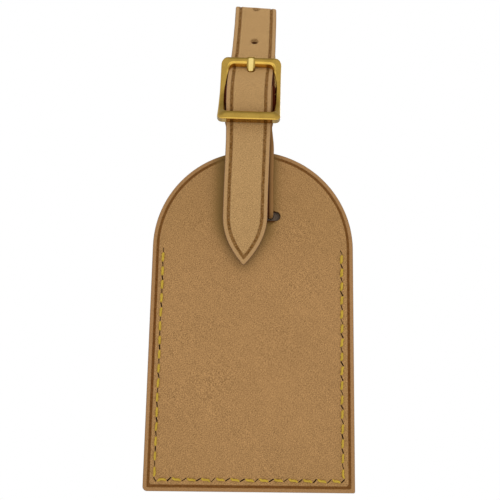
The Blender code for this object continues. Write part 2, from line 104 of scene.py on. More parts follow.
def rounded_box(width, height, radius, middle_z):
    """A rounded rectangle, counter-clockwise from its top right corner."""
    x, z = width / 2 - radius, height / 2 - radius
    return np.vstack([arc(side * x, middle_z + up * z, radius, start, start + 90, 6)
                      for side, up, start in ((1, 1, 0), (-1, 1, 90), (-1, -1, 180), (1, -1, 270))])


def stepped(points, step, closed=True):
    """A line with points added so that none of its pieces is longer than step."""
    out = []
    n = len(points)
    for i in range(n if closed else n - 1):
        a, b = points[i], points[(i + 1) % n]
        k = max(1, int(math.ceil(np.linalg.norm(b - a) / step)))
        out += [a + (b - a) * j / k for j in range(k)]
    if not closed:
        out.append(points[-1])
    return np.array(out)


def inside(points, loop):
    x, y = points[:, 0:1], points[:, 1:2]
    b = np.roll(loop, -1, axis=0)
    ax, ay, bx, by = loop[:, 0], loop[:, 1], b[:, 0], b[:, 1]
    rise = np.where(by == ay, 1.0, by - ay)
    crosses = ((ay > y) != (by > y)) & (x < (bx - ax) * (y - ay) / rise + ax)
    return crosses.sum(1) % 2 == 1


def distance(points, loop, keep=None):
    """Distance of each point from a closed line, or from the pieces of it that keep marks."""
    a, b = loop, np.roll(loop, -1, axis=0)
    if keep is not None:
        a, b = a[keep], b[keep]
    d = b - a
    size = np.maximum((d * d).sum(1), 1e-12)
    best = np.full(len(points), 1e9)
    for k in range(0, len(points), 2000):
        rel = points[k:k + 2000, None, :] - a[None]
        t = np.clip((rel * d).sum(2) / size, 0, 1)
        best[k:k + 2000] = np.sqrt(((rel - t[:, :, None] * d) ** 2).sum(2)).min(1)
    return best


def inset(loop, d):
    """Points of a closed counter-clockwise line moved inwards by d, where they really are d from it."""
    before, after = loop - np.roll(loop, 1, axis=0), np.roll(loop, -1, axis=0) - loop
    n0 = np.column_stack([-before[:, 1], before[:, 0]]) / np.linalg.norm(before, axis=1)[:, None]
    n1 = np.column_stack([-after[:, 1], after[:, 0]]) / np.linalg.norm(after, axis=1)[:, None]
    mid = n0 + n1
    mid /= np.linalg.norm(mid, axis=1)[:, None]
    moved = loop + mid * (d / np.maximum(0.35, (mid * n0).sum(1)))[:, None]
    return moved[(distance(moved, loop) > 0.96 * abs(d))]


def lengths(p):
    """Length along a line at each of its points."""
    return np.r_[0, np.cumsum(np.linalg.norm(np.diff(p, axis=0), axis=1))]


def tangents(p):
    t = np.gradient(p, axis=0)
    return t / np.linalg.norm(t, axis=1)[:, None]


def tube_faces(rings, sides, closed=False):
    """Faces round rings of vertices: a closed hoop, or a tube with its two ends."""
    faces = [[i * sides + k, i * sides + (k + 1) % sides,
              (i + 1) % rings * sides + (k + 1) % sides, (i + 1) % rings * sides + k]
             for i in range(rings if closed else rings - 1) for k in range(sides)]
    return faces if closed else faces + [list(range(sides)), [(rings - 1) * sides + k for k in range(sides)]]


def ease(x, low, high):
    t = np.clip((x - low) / (high - low), 0, 1)
    return t * t * (3 - 2 * t)


def between(x, low, full, last, high):
    """0 up to low, 1 from full to last, 0 again from high."""
    return ease(x, low, full) * (1 - ease(x, last, high))


def bell(x, middle, width):
    return np.exp(-((x - middle) / width) ** 2)


# ---- leather sheets
def rounding(d, r):
    """How far a surface has dropped at distance d inside an edge rounded with radius r."""
    return r - np.sqrt(np.maximum(0.0, r * r - np.clip(r - d, 0, r) ** 2))


def crease(d, middle, half, depth):
    """Depth of a pressed line at distance d from the edge, with the slight bank on either side of it."""
    x = np.abs(d - middle) / half
    return depth * np.where(x < 1, 0.5 + 0.5 * np.cos(np.pi * np.minimum(x, 1)), 0) \
        - 0.22 * depth * bell(x, 1.25, 0.3)


def placed(name, data):
    obj = bpy.data.objects.new(name, data)
    bpy.context.scene.collection.objects.link(obj)
    return obj


def finish_mesh(name, points, faces, layers, sharp=50.0):
    """An object from datum points. layers are point attributes: {name: values}."""
    mesh = bpy.data.meshes.new(name)
    mesh.from_pydata(at_all(np.array(points)).tolist(), [], faces)
    for key, values in layers.items():
        values = np.asarray(values, np.float32)
        if values.ndim == 1:
            mesh.attributes.new(key, "FLOAT", "POINT").data.foreach_set("value", values)
        else:
            mesh.attributes.new(key, "FLOAT_VECTOR", "POINT").data.foreach_set("vector", values.ravel())
    bm = bmesh.new()
    bm.from_mesh(mesh)
    bmesh.ops.recalc_face_normals(bm, faces=bm.faces)
    bm.to_mesh(mesh)
    bm.free()
    mesh.shade_smooth()
    mesh.set_sharp_from_angle(angle=math.radians(sharp))
    return placed(name, mesh)


def border(triangles):
    """The edges that only one of the triangles has."""
    seen = {(t[i], t[(i + 1) % 3]): True for t in triangles.tolist() for i in range(3)}
    return [e for e in seen if (e[1], e[0]) not in seen]


def sheet(name, outline, cuts, pits, extra, front, back, put, finished=None, rim_cuts=(), painted_shade=None,
          raw_cuts=False):
    """A piece of leather. outline, cuts (right through) and pits (blind, with a depth) are in the flat
    leather's own u, v. front and back give the depth w of its two faces from u, v, the distance to the
    finished outline and the distance to a cut. put maps u, v, w to datum millimetres."""
    coords, edges = [], []
    for loop in [outline] + list(cuts) + [p[0] for p in pits]:
        k = len(coords)
        coords += loop.tolist()
        edges += [(k + i, k + (i + 1) % len(loop)) for i in range(len(loop))]
    keep = inside(extra, outline) & (distance(extra, outline) > 0.04)
    for loop in cuts:
        keep &= ~inside(extra, loop) & (distance(extra, loop) > 0.05)
    for loop, _ in pits:
        box = (np.abs(extra - loop.mean(0)) < 3.0).all(1) & keep
        near = extra[box]
        if len(near):
            keep[box] = ~inside(near, loop) & (distance(near, loop) > 0.16)
    coords += extra[keep].tolist()
    flat, _, tris, *_ = delaunay_2d_cdt([Vector(c) for c in coords], edges, [], 0, 1e-5)
    flat = np.array([tuple(v) for v in flat])
    tris = np.array(tris)
    centre = flat[tris].mean(1)
    good = inside(centre, outline)
    for loop in cuts:
        good &= ~inside(centre, loop)
    tris, centre = tris[good], centre[good]
    which = np.full(len(tris), -1)
    for k, (loop, _) in enumerate(pits):
        near = np.nonzero((np.abs(centre - loop.mean(0)) < 2.0).all(1))[0]
        if len(near):
            which[near[inside(centre[near], loop)]] = k

    used = np.unique(tris)
    index = np.full(len(flat), -1)
    index[used] = np.arange(len(used))
    flat, tris = flat[used], index[tris]
    n = len(flat)
    u, v = flat[:, 0], flat[:, 1]
    rim = distance(flat, outline, finished)
    cut = np.full(n, 1e3)
    for loop in cuts:
        cut = np.minimum(cut, distance(flat, loop))
    for k in rim_cuts:
        rim = np.minimum(rim, distance(flat, cuts[k]))
    w_front, w_back = front(u, v, rim, cut), back(u, v, rim, cut)
    lip = rim if raw_cuts else np.minimum(rim, cut)

    def points(chosen, w, lips, flesh, pit):
        full = np.ones(len(w))
        return np.column_stack([u[chosen], v[chosen], w, rim[chosen], lips * full, flesh * full, pit * full])

    parts = [points(slice(None), w_front, lip, 0, 0), points(slice(None), w_back, lip, 1, 0)]
    faces = [t.tolist() for t in tris[which < 0]]
    faces += [[a + n for a in t[::-1].tolist()] for t in tris]
    faces += [[b, a, a + n, b + n] for a, b in border(tris)]
    total = 2 * n
    for k, (loop, depth) in enumerate(pits):
        mine = tris[which == k]
        if not len(mine):
            continue
        floor = np.unique(mine)
        new = {int(f): total + i for i, f in enumerate(floor)}
        total += len(floor)
        parts.append(points(floor, w_front[floor] + depth, 9.0, 0, 1))
        faces += [[new[a] for a in t] for t in mine.tolist()]
        faces += [[a, b, new[b], new[a]] for a, b in border(mine)]
    table = np.vstack(parts)
    where = table[:, :3]
    layers = dict(zip(("rim", "lip", "flesh", "pit"), table[:, 3:].T))
    layers["flat"] = where
    # point attribute for the painted shade, zero where no function for it is given
    layers["painted_shade"] = painted_shade(*where[:, :2].T) if painted_shade else np.zeros(len(where))
    return finish_mesh(name, put(*where.T), faces, layers)


# ---- the strap's line
def rounded(points, radii, step=9.0):
    """Polyline with each inner corner replaced by an arc of the given radius."""
    out = [Vector(points[0])]
    for i in range(1, len(points) - 1):
        p, q, s = Vector(points[i - 1]), Vector(points[i]), Vector(points[i + 1])
        u, v = (p - q).normalized(), (s - q).normalized()
        angle = u.angle(v)
        r = radii[i - 1]
        if angle > math.pi - 0.01:
            out.append(q)
            continue
        d = r / math.tan(angle / 2)
        centre = q + (u + v).normalized() * (r / math.sin(angle / 2))
        a, b = q + u * d - centre, q + v * d - centre
        a0 = math.atan2(a.y, a.x)
        turn = (math.atan2(b.y, b.x) - a0 + math.pi) % (2 * math.pi) - math.pi
        n = max(3, int(abs(math.degrees(turn)) / step) + 1)
        out += [centre + Vector((math.cos(a0 + turn * k / n), math.sin(a0 + turn * k / n))) * r
                for k in range(n + 1)]
    out.append(Vector(points[-1]))
    return out


HALF_T = STRAP_T / 2
WRAP_R = BAR_R + 0.1 + HALF_T
SLOPE = math.atan(0.409)
fold_start = (LOOP_Y - LOOP_R * math.cos(SLOPE), LOOP_Z + LOOP_R * math.sin(SLOPE))
front_leg = rounded([(-1.75, TIP_Z), (-3.25, -20.5), (HINGE_Y, HINGE_Z), (HINGE_Y, 9.4), (-5.75, 15.8),
                     (-5.75, 20.6), (-0.72, 29.2), fold_start], [40.0, 20.0, 6.0, 6.0, 5.0, 8.0])[:-1]
turn = math.pi - SLOPE
fold = [Vector((LOOP_Y + LOOP_R * math.cos(a), LOOP_Z + LOOP_R * math.sin(a)))
        for a in (turn - turn * k / 20 for k in range(21))]
SLOT_RUN = SLOT_Z + SLOT_H / 2 - 0.5 - HALF_T
REAR_FOOT = -0.5 - HALF_T
back_leg = rounded([(LOOP_Y + LOOP_R, LOOP_Z), (LOOP_Y + LOOP_R + 0.6, 34.0), (13.6, 4.0),
                    (TAG_T + 0.5 + HALF_T, -14.5), (TAG_T + 0.5 + HALF_T, SLOT_RUN), (REAR_FOOT, SLOT_RUN),
                    (REAR_FOOT, -18.0), (-2.9, 9.4), (BAR_Y - WRAP_R, BAR_Z - 1.6), (BAR_Y - WRAP_R, BAR_Z)],
                   [60.0, 60.0, 12.0, HALF_T + 0.45, HALF_T + 0.45, 10.0, 14.0, 3.0])[1:-1]
wrap = [Vector((BAR_Y - WRAP_R * math.cos(a), BAR_Z + WRAP_R * math.sin(a)))
        for a in (math.pi * k / 18 for k in range(19))]
return_leg = rounded([(BAR_Y + WRAP_R, BAR_Z), (BAR_Y + WRAP_R, BAR_Z - 1.6), (-0.98, 9.4), (-0.56, 2.4)],
                     [3.0, 14.0])[1:]


class Line:
    """The strap's centre line in the y, z plane, by length from the tail's tip."""

    def __init__(self, points):
        p = np.array([tuple(q) for q in points])
        keep = np.r_[True, np.linalg.norm(np.diff(p, axis=0), axis=1) > 1e-4]
        p = p[keep]
        step = np.linalg.norm(np.diff(p, axis=0), axis=1)
        self.s = np.r_[0, np.cumsum(step)]
        self.p = p
        t = np.diff(p, axis=0) / step[:, None]
        joint = np.vstack([t[:1], (t[:-1] + t[1:]), t[-1:]])
        self.t = joint / np.linalg.norm(joint, axis=1)[:, None]
        angle = np.unwrap(np.arctan2(self.t[:, 1], self.t[:, 0]))
        self.angle = angle
        self.length = self.s[-1]

    def point(self, s):
        return np.interp(s, self.s, self.p[:, 0]), np.interp(s, self.s, self.p[:, 1])

    def normal(self, s):
        a = np.interp(s, self.s, self.angle)
        return -np.sin(a), np.cos(a)

    def stations(self, low, high, turn=10.0, longest=2.2):
        """Lengths at which to put rows, close together where the line bends."""
        fine = np.linspace(low, high, int((high - low) / 0.05) + 2)
        a = np.interp(fine, self.s, self.angle)
        cost = np.maximum(np.abs(np.diff(a)) / math.radians(turn), np.diff(fine) / longest)
        cost = np.cumsum(np.r_[0, cost])
        n = int(math.ceil(cost[-1]))
        return np.interp(np.linspace(0, cost[-1], n + 1), cost, fine)


line = Line(front_leg + fold + back_leg + wrap + return_leg)


def nearest(y, z, low=0.0, high=1e9):
    """Length along the strap of the point nearest to y, z."""
    s = np.arange(max(low, 0.0), min(high, line.length), 0.02)
    py, pz = line.point(s)
    return float(s[np.argmin((py - y) ** 2 + (pz - z) ** 2)])


S_APEX = nearest(LOOP_Y, LOOP_Z + LOOP_R)
S_SLOT = nearest(1.7, SLOT_RUN, S_APEX)
S_BAR = nearest(BAR_Y, BAR_Z + WRAP_R, S_SLOT)
S_JOIN = nearest(-4.93, 9.9, 0, S_APEX)
front_s = np.linspace(0, S_APEX, 900)
front_z = line.point(front_s)[1]


def s_front(z):
    return np.interp(z, front_z, front_s)


def s_rear(z):
    """Length along the strap of a height on its rear run."""
    return nearest(float(np.interp(z, [4.0, 34.0], [13.6, LOOP_Y + LOOP_R + 0.6])), z, S_APEX, S_SLOT)


def knots(*parts):
    """One list of (length, value) from parts of (place on the strap, (height or offset, value), ...)."""
    return [(place(at_z), value) for place, *pairs in parts for at_z, value in pairs]


def from_slot(d):
    return S_SLOT + d


def from_bar(d):
    return S_BAR + d


# Sideways place of the strap's middle along its length, the slight lean of the real one, and its width
# as a share of STRAP_W.
LEAN = knots((s_front, (TIP_Z, -3.15), (-21.0, -2.9), (-14.5, -2.85), (-4.5, -2.6), (6.0, -2.4),
              (13.0, -2.55), (19.0, -2.5), (25.5, -2.05), (34.7, -1.0), (42.4, -0.65), (49.0, -0.36),
              (56.7, -0.15)),
             (s_rear, (52.0, -0.15), (44.0, 0.1), (36.0, 0.9), (27.0, 0.9), (21.0, -0.2), (15.0, -1.5),
              (5.0, -1.3)),
             (from_slot, (-6, -0.9), (0, -0.9), (5, -1.0)),
             (from_bar, (-21, -1.25), (-15, -2.1), (-9, -2.15), (30, -2.15)))
WIDTH = knots((s_front, (2.0, 1.0), (9.0, 1.025), (22.0, 1.03), (31.0, 1.045), (42.0, 1.03)),
              (s_rear, (42.0, 1.02), (36.0, 1.04), (21.0, 1.04), (12.0, 1.0)),
              (from_bar, (-30, 1.0), (-22, 1.03), (-13.5, 1.03), (-11, 1.16), (12, 1.16), (16, 1.0)))
lean_s = np.linspace(-5, line.length + 5, 2400)


def smoothed(table, reach):
    raw = np.interp(lean_s, *zip(*table))
    kernel = np.hanning(2 * reach + 1)
    return np.convolve(np.pad(raw, reach, mode="edge"), kernel / kernel.sum(), mode="valid")


lean_x, wide_x = smoothed(LEAN, 40), smoothed(WIDTH, 16)
TWIST = math.tan(math.radians(2.2))


def strap_put(s, v, w):
    """Flat strap to datum millimetres: s along it, v across, w into it from the grain side."""
    y, z = line.point(s)
    ny, nz = line.normal(s)
    v = v * np.interp(s, lean_s, wide_x)
    x = np.interp(s, lean_s, lean_x) + v
    drop = TWIST * (ease(s, s_front(33.0), S_APEX - 2) - ease(s, S_APEX + 4, S_APEX + 40)) * v
    h = HALF_T - w
    return np.column_stack([x, y + ny * h, z + nz * h - drop])


# ---- node materials
class Nodes:
    """Short calls for building a node tree."""

    def __init__(self, tree):
        self.tree = tree

    def feed(self, socket, value):
        if isinstance(value, bpy.types.NodeSocket):
            self.tree.links.new(value, socket)
        else:
            socket.default_value = value

    def make(self, kind, **values):
        """A node with some of its inputs set. From_Min means the input named From Min."""
        node = self.tree.nodes.new("ShaderNode" + kind)
        for key, value in values.items():
            self.feed(node.inputs[key.replace("_", " ")], value)
        return node

    def attribute(self, name, vector=False):
        node = self.make("Attribute")
        node.attribute_name = name
        return node.outputs["Vector" if vector else "Fac"]

    def math(self, kind, a, b=0.0, clamp=False):
        node = self.make("Math")
        node.operation, node.use_clamp = kind, clamp
        self.feed(node.inputs[0], a)
        self.feed(node.inputs[1], b)
        return node.outputs[0]

    def plus(self, a, b, clamp=False):
        return self.math("ADD", a, b, clamp)

    def times(self, a, b):
        return self.math("MULTIPLY", a, b)

    def gap(self, a, b):
        """How far a is from b."""
        return self.math("ABSOLUTE", self.math("SUBTRACT", a, b))

    def scaled(self, vector, scale):
        return self.make("Mapping", Vector=vector, Scale=scale).outputs[0]

    def turned(self, vector, degrees):
        return self.make("Mapping", Vector=vector, Rotation=(0, 0, math.radians(degrees))).outputs[0]

    def noise(self, vector, scale, detail=2.0, rough=0.5):
        node = self.make("TexNoise", Vector=vector, Scale=scale, Detail=detail, Roughness=rough)
        return node.outputs["Fac"]

    def cells(self, vector, scale):
        return self.make("TexVoronoi", Vector=vector, Scale=scale).outputs["Distance"]

    def span(self, value, a, b, to_a=0.0, to_b=1.0):
        """value mapped from a..b to to_a..to_b, smooth and clamped."""
        node = self.make("MapRange", Value=value, From_Min=a, From_Max=b, To_Min=to_a, To_Max=to_b)
        node.interpolation_type = "SMOOTHSTEP"
        return node.outputs["Result"]

    def mix(self, fac, a, b):
        node = self.make("Mix")
        node.data_type = "RGBA"
        self.feed(node.inputs[0], fac)
        for socket, colour in ((6, a), (7, b)):
            linked = isinstance(colour, bpy.types.NodeSocket)
            self.feed(node.inputs[socket], colour if linked else (*colour, 1.0))
        return node.outputs[2]

    def ramp(self, fac, stops):
        node = self.make("ValToRGB", Fac=fac)
        elements = node.color_ramp.elements
        while len(elements) < len(stops):
            elements.new(0.5)
        for element, (place, colour) in zip(elements, stops):
            element.position = place
            element.color = (*colour, 1.0)
        return node.outputs["Color"]

    def bump(self, height, strength, reach):
        return self.make("Bump", Height=height, Strength=strength, Distance=reach).outputs["Normal"]


def material(name):
    """A new material, its node helper and its shader's inputs."""
    mat = bpy.data.materials.new(name)
    mat.use_nodes = True
    return mat, Nodes(mat.node_tree), mat.node_tree.nodes["Principled BSDF"].inputs


def tint(colour, k, warm=0.0):
    return (colour[0] * k * (1 + warm), colour[1] * k, colour[2] * k * (1 - warm))


def toned(colour, tone):
    return tuple(c * k for c, k in zip(colour, tone))


# Colour of the deepest painted shade
DEEP_PAINTED_SHADE = (0.050, 0.006, 0.0005)
# Colour of the painted shade in the needle slits' pits
PIT_SHADE = (0.045, 0.016, 0.006)


def leather_material(name, base, look, crease_half, lie, grain_size, depth):
    """Smooth natural leather: cloudy colour, grain lying one way, pores, a burnt crease, a painted edge, and
    painted shade from a point attribute.
    """
    mat, n, shader = material(name)
    flat = n.attribute("flat", vector=True)
    rim, lip, flesh, pit, painted_shade = (n.attribute(k) for k in ("rim", "lip", "flesh", "pit", "painted_shade"))
    along = n.turned(flat, lie)
    cloud = n.noise(flat, 0.05, 3.0, 0.55)
    blotch = n.noise(flat, 0.42, 4.0, 0.6)
    grain = n.noise(n.scaled(along, (2.5, 5.6, 3.0)), grain_size, 2.0, 0.6)
    scratch = n.noise(n.scaled(along, (0.22, 1.8, 1.0)), 1.0, 3.0, 0.6)
    pores = n.cells(flat, 1.7)
    tone = n.plus(n.times(cloud, 0.04), n.times(blotch, 0.04))
    tone = n.plus(tone, n.times(grain, 0.80))
    tone = n.plus(tone, n.times(scratch, 0.12))
    colour = n.ramp(tone, [(0.37, tint(base, 1 - depth, 0.03)), (0.5, base),
                           (0.63, tint(base, 1 + depth, -0.03))])
    dot = n.times(n.span(pores, 0.06, 0.22, 1.0, 0.0), n.span(blotch, 0.45, 0.7))
    colour = n.mix(n.times(dot, 0.16), colour, tint(base, 0.62))
    outer = n.span(n.plus(rim, n.times(blotch, 0.5)), 0.9, 1.9, 0.55, 0.0)
    colour = n.mix(outer, colour, toned(base, look["outer_tone"]))

    wobble = n.times(n.math("SUBTRACT", blotch, 0.5), 0.2)
    off = n.gap(n.plus(rim, wobble), look["crease_in"])
    on_grain = n.span(flesh, 0.2, 0.6, 1.0, 0.0)
    burnt = n.times(n.span(off, crease_half * 0.5, crease_half * 1.1, 1.0, 0.0), on_grain)
    stipple, line_colour = look["stipple"], look["line"]
    burnt = n.times(burnt, n.span(n.noise(flat, 1.5, 3.0, 0.7), 0.36, 0.62, 1.0 - 0.5 * stipple, 1.0))
    deep = n.span(n.noise(flat, 1.7, 2.0, 0.6), 0.42, 0.62)
    colour = n.mix(burnt, colour, n.mix(deep, line_colour, tint(line_colour, 0.85 - 0.45 * stipple, 0.05)))

    inner = look["inner_side"]
    suede = n.ramp(n.noise(flat, 1.4, 5.0, 0.7), [(0.3, tint(inner, 0.7)), (0.7, tint(inner, 1.3))])
    colour = n.mix(n.span(flesh, 0.8, 1.0), colour, suede)
    ragged = n.times(n.math("SUBTRACT", grain, 0.5), 0.16)
    painted = n.span(n.plus(lip, ragged), 0.03, 0.26, 1.0, 0.0)
    edge = n.mix(n.noise(flat, 0.8, 3.0, 0.6), tint(look["edge"], 0.8), tint(look["edge"], 1.25))
    colour = n.mix(painted, colour, edge)
    # painted shade: towards the look's shade colour up to half strength, then towards near-black
    colour = n.mix(n.span(painted_shade, 0.0, 0.5), colour, toned(base, look["shade_tone"]))
    colour = n.mix(n.span(painted_shade, 0.5, 1.0), colour, DEEP_PAINTED_SHADE)
    # painted shade at the bottom of the needle slits' pits
    colour = n.mix(n.span(pit, 0.02, 0.6), colour, PIT_SHADE)
    n.feed(shader["Base Color"], colour)

    rough = n.span(blotch, 0.2, 0.8, 0.50, 0.62)
    rough = n.plus(rough, n.times(n.span(flesh, 0.4, 0.9), 0.3), clamp=True)
    rough = n.plus(rough, n.span(painted_shade, 0.5, 0.8, 0.0, 0.4), clamp=True)
    n.feed(shader["Roughness"], rough)
    height = n.plus(n.times(grain, 0.9), n.times(scratch, 0.5))
    height = n.plus(height, n.times(n.span(pores, 0.0, 0.3), 0.5))
    height = n.plus(height, n.times(burnt, -1.0))
    n.feed(shader["Normal"], n.bump(height, 0.4, 0.00012))
    shader["Specular IOR Level"].default_value = 0.06
    return mat


def yarn_material(name, colour):
    mat, n, shader = material(name)
    flat = n.attribute("flat", vector=True)
    fibre = n.noise(n.scaled(flat, (0.6, 3.0, 1.0)), 2.2, 3.0, 0.6)
    patch = n.noise(flat, 0.35, 2.0)
    tone = n.plus(n.times(fibre, 0.6), n.times(patch, 0.4))
    twist = n.attribute("lobe")
    shade = n.ramp(tone, [(0.3, tint(colour, 0.72, 0.04)), (0.5, colour), (0.72, tint(colour, 1.25, -0.03))])
    # painted shade: the thread darker in the grooves between its plies
    between = n.span(twist, 0.0, 0.55, 0.55, 0.0)
    n.feed(shader["Base Color"], n.mix(between, shade, tint(colour, 0.4, 0.1)))
    n.feed(shader["Normal"], n.bump(n.plus(fibre, twist), 0.4, 0.00008))
    n.feed(shader["Roughness"], n.span(fibre, 0.3, 0.7, 0.5, 0.68))
    shader["Specular IOR Level"].default_value = 0.12
    return mat


def brass_material(name, base, side_shade=None):
    """Polished brass. With a second, darker colour, that colour shows wherever the prong's facet attribute is
    0: a painted reflection, darker sides beside the lit facet.
    """
    mat, n, shader = material(name)
    coord = n.make("TexCoord").outputs["Object"]
    patch = n.noise(coord, 260.0, 4.0, 0.6)
    fine = n.noise(coord, 2600.0, 3.0, 0.6)
    shade = n.ramp(n.plus(n.times(patch, 0.7), n.times(fine, 0.3)),
                   [(0.32, tint(base, 0.84, 0.03)), (0.52, base), (0.7, tint(base, 1.1, -0.03))])
    if side_shade:
        shade = n.mix(n.attribute("lit_facet"), side_shade, shade)
    n.feed(shader["Base Color"], shade)
    n.feed(shader["Roughness"], n.span(patch, 0.3, 0.7, 0.13, 0.22))
    n.feed(shader["Normal"], n.bump(n.plus(n.times(patch, 1.5), fine), 0.05, 0.00002))
    shader["Metallic"].default_value = 1.0
    return mat


def dress(obj, mat, body, slot, *nodes):
    obj.data.materials.clear()
    obj.data.materials.append(mat)
    if body:
        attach(obj, body)
    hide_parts(*nodes)


TAG_TAN, STRAP_TAN = (0.385, 0.210, 0.080), (0.428, 0.254, 0.102)
# Each look's shade tone is the colour of its painted shade.
TAG_LOOK = {"line": (0.150, 0.050, 0.006), "edge": (0.150, 0.096, 0.062),
            "inner_side": (0.24, 0.175, 0.125), "outer_tone": (0.95, 0.91, 1.06),
            "shade_tone": (0.56, 0.58, 0.42), "crease_in": 1.66, "stipple": 0.3}
# The strap's inner side is near-black maroon: painted shade, for the shade seen through the buckle's gaps and
# the strap's holes.
STRAP_LOOK = {"line": (0.190, 0.082, 0.016), "edge": (0.15, 0.078, 0.042),
              "inner_side": (0.070, 0.018, 0.006), "outer_tone": (1.0, 1.0, 1.14),
              "shade_tone": (0.66, 0.57, 0.48), "crease_in": 1.8, "stipple": 0.7}
tag_leather = leather_material("tag_leather", TAG_TAN, TAG_LOOK, 0.54, 42, grain_size=1.15, depth=0.60)
back_leather = leather_material("back_leather", tint(TAG_TAN, 0.94), TAG_LOOK, 0.58, 35, grain_size=1.1,
                                depth=0.62)
strap_leather = leather_material("strap_leather", STRAP_TAN, STRAP_LOOK, 0.66, 48, grain_size=1.0, depth=0.42)

# ---- the tag's two panels
EDGE_R = 0.42
EDGE_ROWS = [0.056, 0.21, 0.42, 0.56]
CREASE_ROWS = [1.16, 1.33, 1.5, 1.66, 1.82, 1.99, 2.16, 2.4]
SEAM_ROWS = [2.75, 3.1, 3.45, 3.75, 4.1, 4.45, 5.0]
SLOT_ROWS = [0.04, 0.15, 0.3, 0.42, 1.0]


def tag_outline():
    """Arch, left side, bottom with its rounder left corner, right side."""
    r, low, left_r, right_r = ARCH_R, -TAG_H, 1.4, 0.5

    def straight(a, b):
        return stepped(np.array([a, b]), 1.1, False)[1:-1]
    return np.vstack([arc(0, -ARCH_R, ARCH_R, 0, 180, 96), straight((-r, -ARCH_R), (-r, low + left_r)),
                      arc(-r + left_r, low + left_r, left_r, 180, 270, 6),
                      straight((-r + left_r, low), (r - right_r, low)),
                      arc(r - right_r, low + right_r, right_r, 270, 360, 4),
                      straight((r, low + right_r), (r, -ARCH_R))])


def seam_slits():
    """Needle slits down the left side, along the bottom and up the right: centre, direction, half length."""
    x, low = ARCH_R - SEAM_IN, -TAG_H + SEAM_IN
    made = []
    for i in range(SIDE_STITCHES):
        made.append((-x - 0.15, SEAM_TOP + (low - SEAM_TOP) * i / SIDE_STITCHES, 0.10, -0.995))
    made.append((-x + 0.1, low, 0.62, -0.78))
    for i in range(1, BOTTOM_STITCHES):
        made.append((-x + 2 * x * i / BOTTOM_STITCHES, low, 0.79, 0.61))
    made.append((x - 0.2, low, 0.79, 0.61))
    for i in range(1, SIDE_STITCHES + 1):
        made.append((x - 0.25, low + (SEAM_TOP + 0.4 - low) * i / SIDE_STITCHES, -0.40, 0.917))
    out = []
    for i, (cx, cz, dx, dz) in enumerate(made):
        spin = math.radians(rng.uniform(-9, 9))
        c, s = math.cos(spin), math.sin(spin)
        out.append((cx + rng.uniform(-0.09, 0.09), cz + rng.uniform(-0.1, 0.1),
                    dx * c - dz * s, dx * s + dz * c, rng.uniform(0.78, 0.98)))
    return out


SLITS = seam_slits()
PIT_DEPTH, BACK_PIT_DEPTH = 0.95, 0.8


def slit_pits(depth):
    return [(stadium(cx, cz, 2 * h, 0.24 + 0.045 * (7 * i % 5), math.atan2(dz, dx), 4), depth)
            for i, (cx, cz, dx, dz, h) in enumerate(SLITS)]


def rows_inside(outline, rows):
    return np.vstack([inset(outline, d) for d in rows])


def grid(pitch, outline, clear):
    """Staggered points over the tag, at least clear from its edge."""
    low = -109
    xs, zs = np.meshgrid(np.arange(-33, 33, pitch), np.arange(low, 1, pitch))
    p = np.column_stack([xs.ravel(), zs.ravel()])
    p[:, 0] += (np.round((p[:, 1] - low) / pitch) % 2) * pitch / 2
    return p[inside(p, outline) & (distance(p, outline) > clear)]


def around(loop, rows):
    """Points round the outside of a cut."""
    return np.vstack([inset(loop, -d) for d in rows])


def swell(u, v, size, reach, seed):
    """Slow unevenness of a hand-cut face."""
    return np.array([size * noise.noise(Vector((a / reach, b / reach, seed))) for a, b in zip(u, v)])


def slit_pull(u, v):
    """The face is drawn in along the seam and stands up a little beside each slit."""
    pull = np.zeros(len(u))
    centres = np.array([(s[0], s[1]) for s in SLITS])
    for (x0, z0), (x1, z1) in zip(centres[:-1], centres[1:]):
        dx, dz = x1 - x0, z1 - z0
        size = dx * dx + dz * dz
        t = ((u - x0) * dx + (v - z0) * dz) / size
        off = np.abs((u - x0) * dz - (v - z0) * dx) / math.sqrt(size)
        groove = 0.15 * bell(off, 0, 0.55) * np.sin(np.pi * np.clip(t, 0, 1)) ** 0.6
        pull += np.where((t > 0) & (t < 1), groove, 0)
    for cx, cz, dx, dz, h in SLITS:
        off = np.abs((u - cx) * dz - (v - cz) * dx)
        far = np.abs((u - cx) * dx + (v - cz) * dz)
        pull -= 0.09 * bell(off, 0.45, 0.3) * bell(far, 0, 0.6)
    return pull


outline = tag_outline()
slot_front = stadium(0, SLOT_Z + 0.15, SLOT_W, SLOT_H - 0.3, n=12)
slot_back = stadium(-0.9, SLOT_Z + 0.45, 14.6, 2.05, n=12)


def pocket_line(grow):
    """The pocket inside the seam; above the seam it opens to the tag's edges."""
    x, z, wide, open_z = ARCH_R - RIM - grow, -TAG_H + RIM + grow, ARCH_R - 0.3, SEAM_TOP + 1.5 + grow
    return np.array([(-x, z), (x, z), (x, SEAM_TOP - 2.0), (wide, open_z), (wide, 2.0),
                     (-wide, 2.0), (-wide, open_z), (-x, SEAM_TOP - 2.0)])


def front_face(u, v, rim, cut):
    base = swell(u, v, 0.10, 17.0, 3.1) + swell(u, v, 0.03, 5.0, 8.2)
    w = rounding(rim, EDGE_R) + rounding(cut, 0.3) + crease(rim, 1.66, 0.5, 0.17)
    return w + (base + slit_pull(u, v)) * ease(rim, 0.2, 1.2)


def front_back(u, v, rim, cut):
    p = np.column_stack([u, v])
    in_pocket = inside(p, pocket_line(0.1)) | (v > SEAM_TOP + 1.6)
    deep = LEATHER + np.where(in_pocket, 0.0, POCKET)
    return deep - rounding(rim, 0.35) - rounding(cut, 0.2)


def tag_put(u, v, w):
    return np.column_stack([u, w, v])


pocket_rows = [stepped(pocket_line(g), 2.0) for g in (0.0, 0.2)]
border_rows = rows_inside(outline, EDGE_ROWS + CREASE_ROWS + SEAM_ROWS)
extra = np.vstack([border_rows, around(slot_front, SLOT_ROWS), *pocket_rows, grid(1.9, outline, 6.0)])


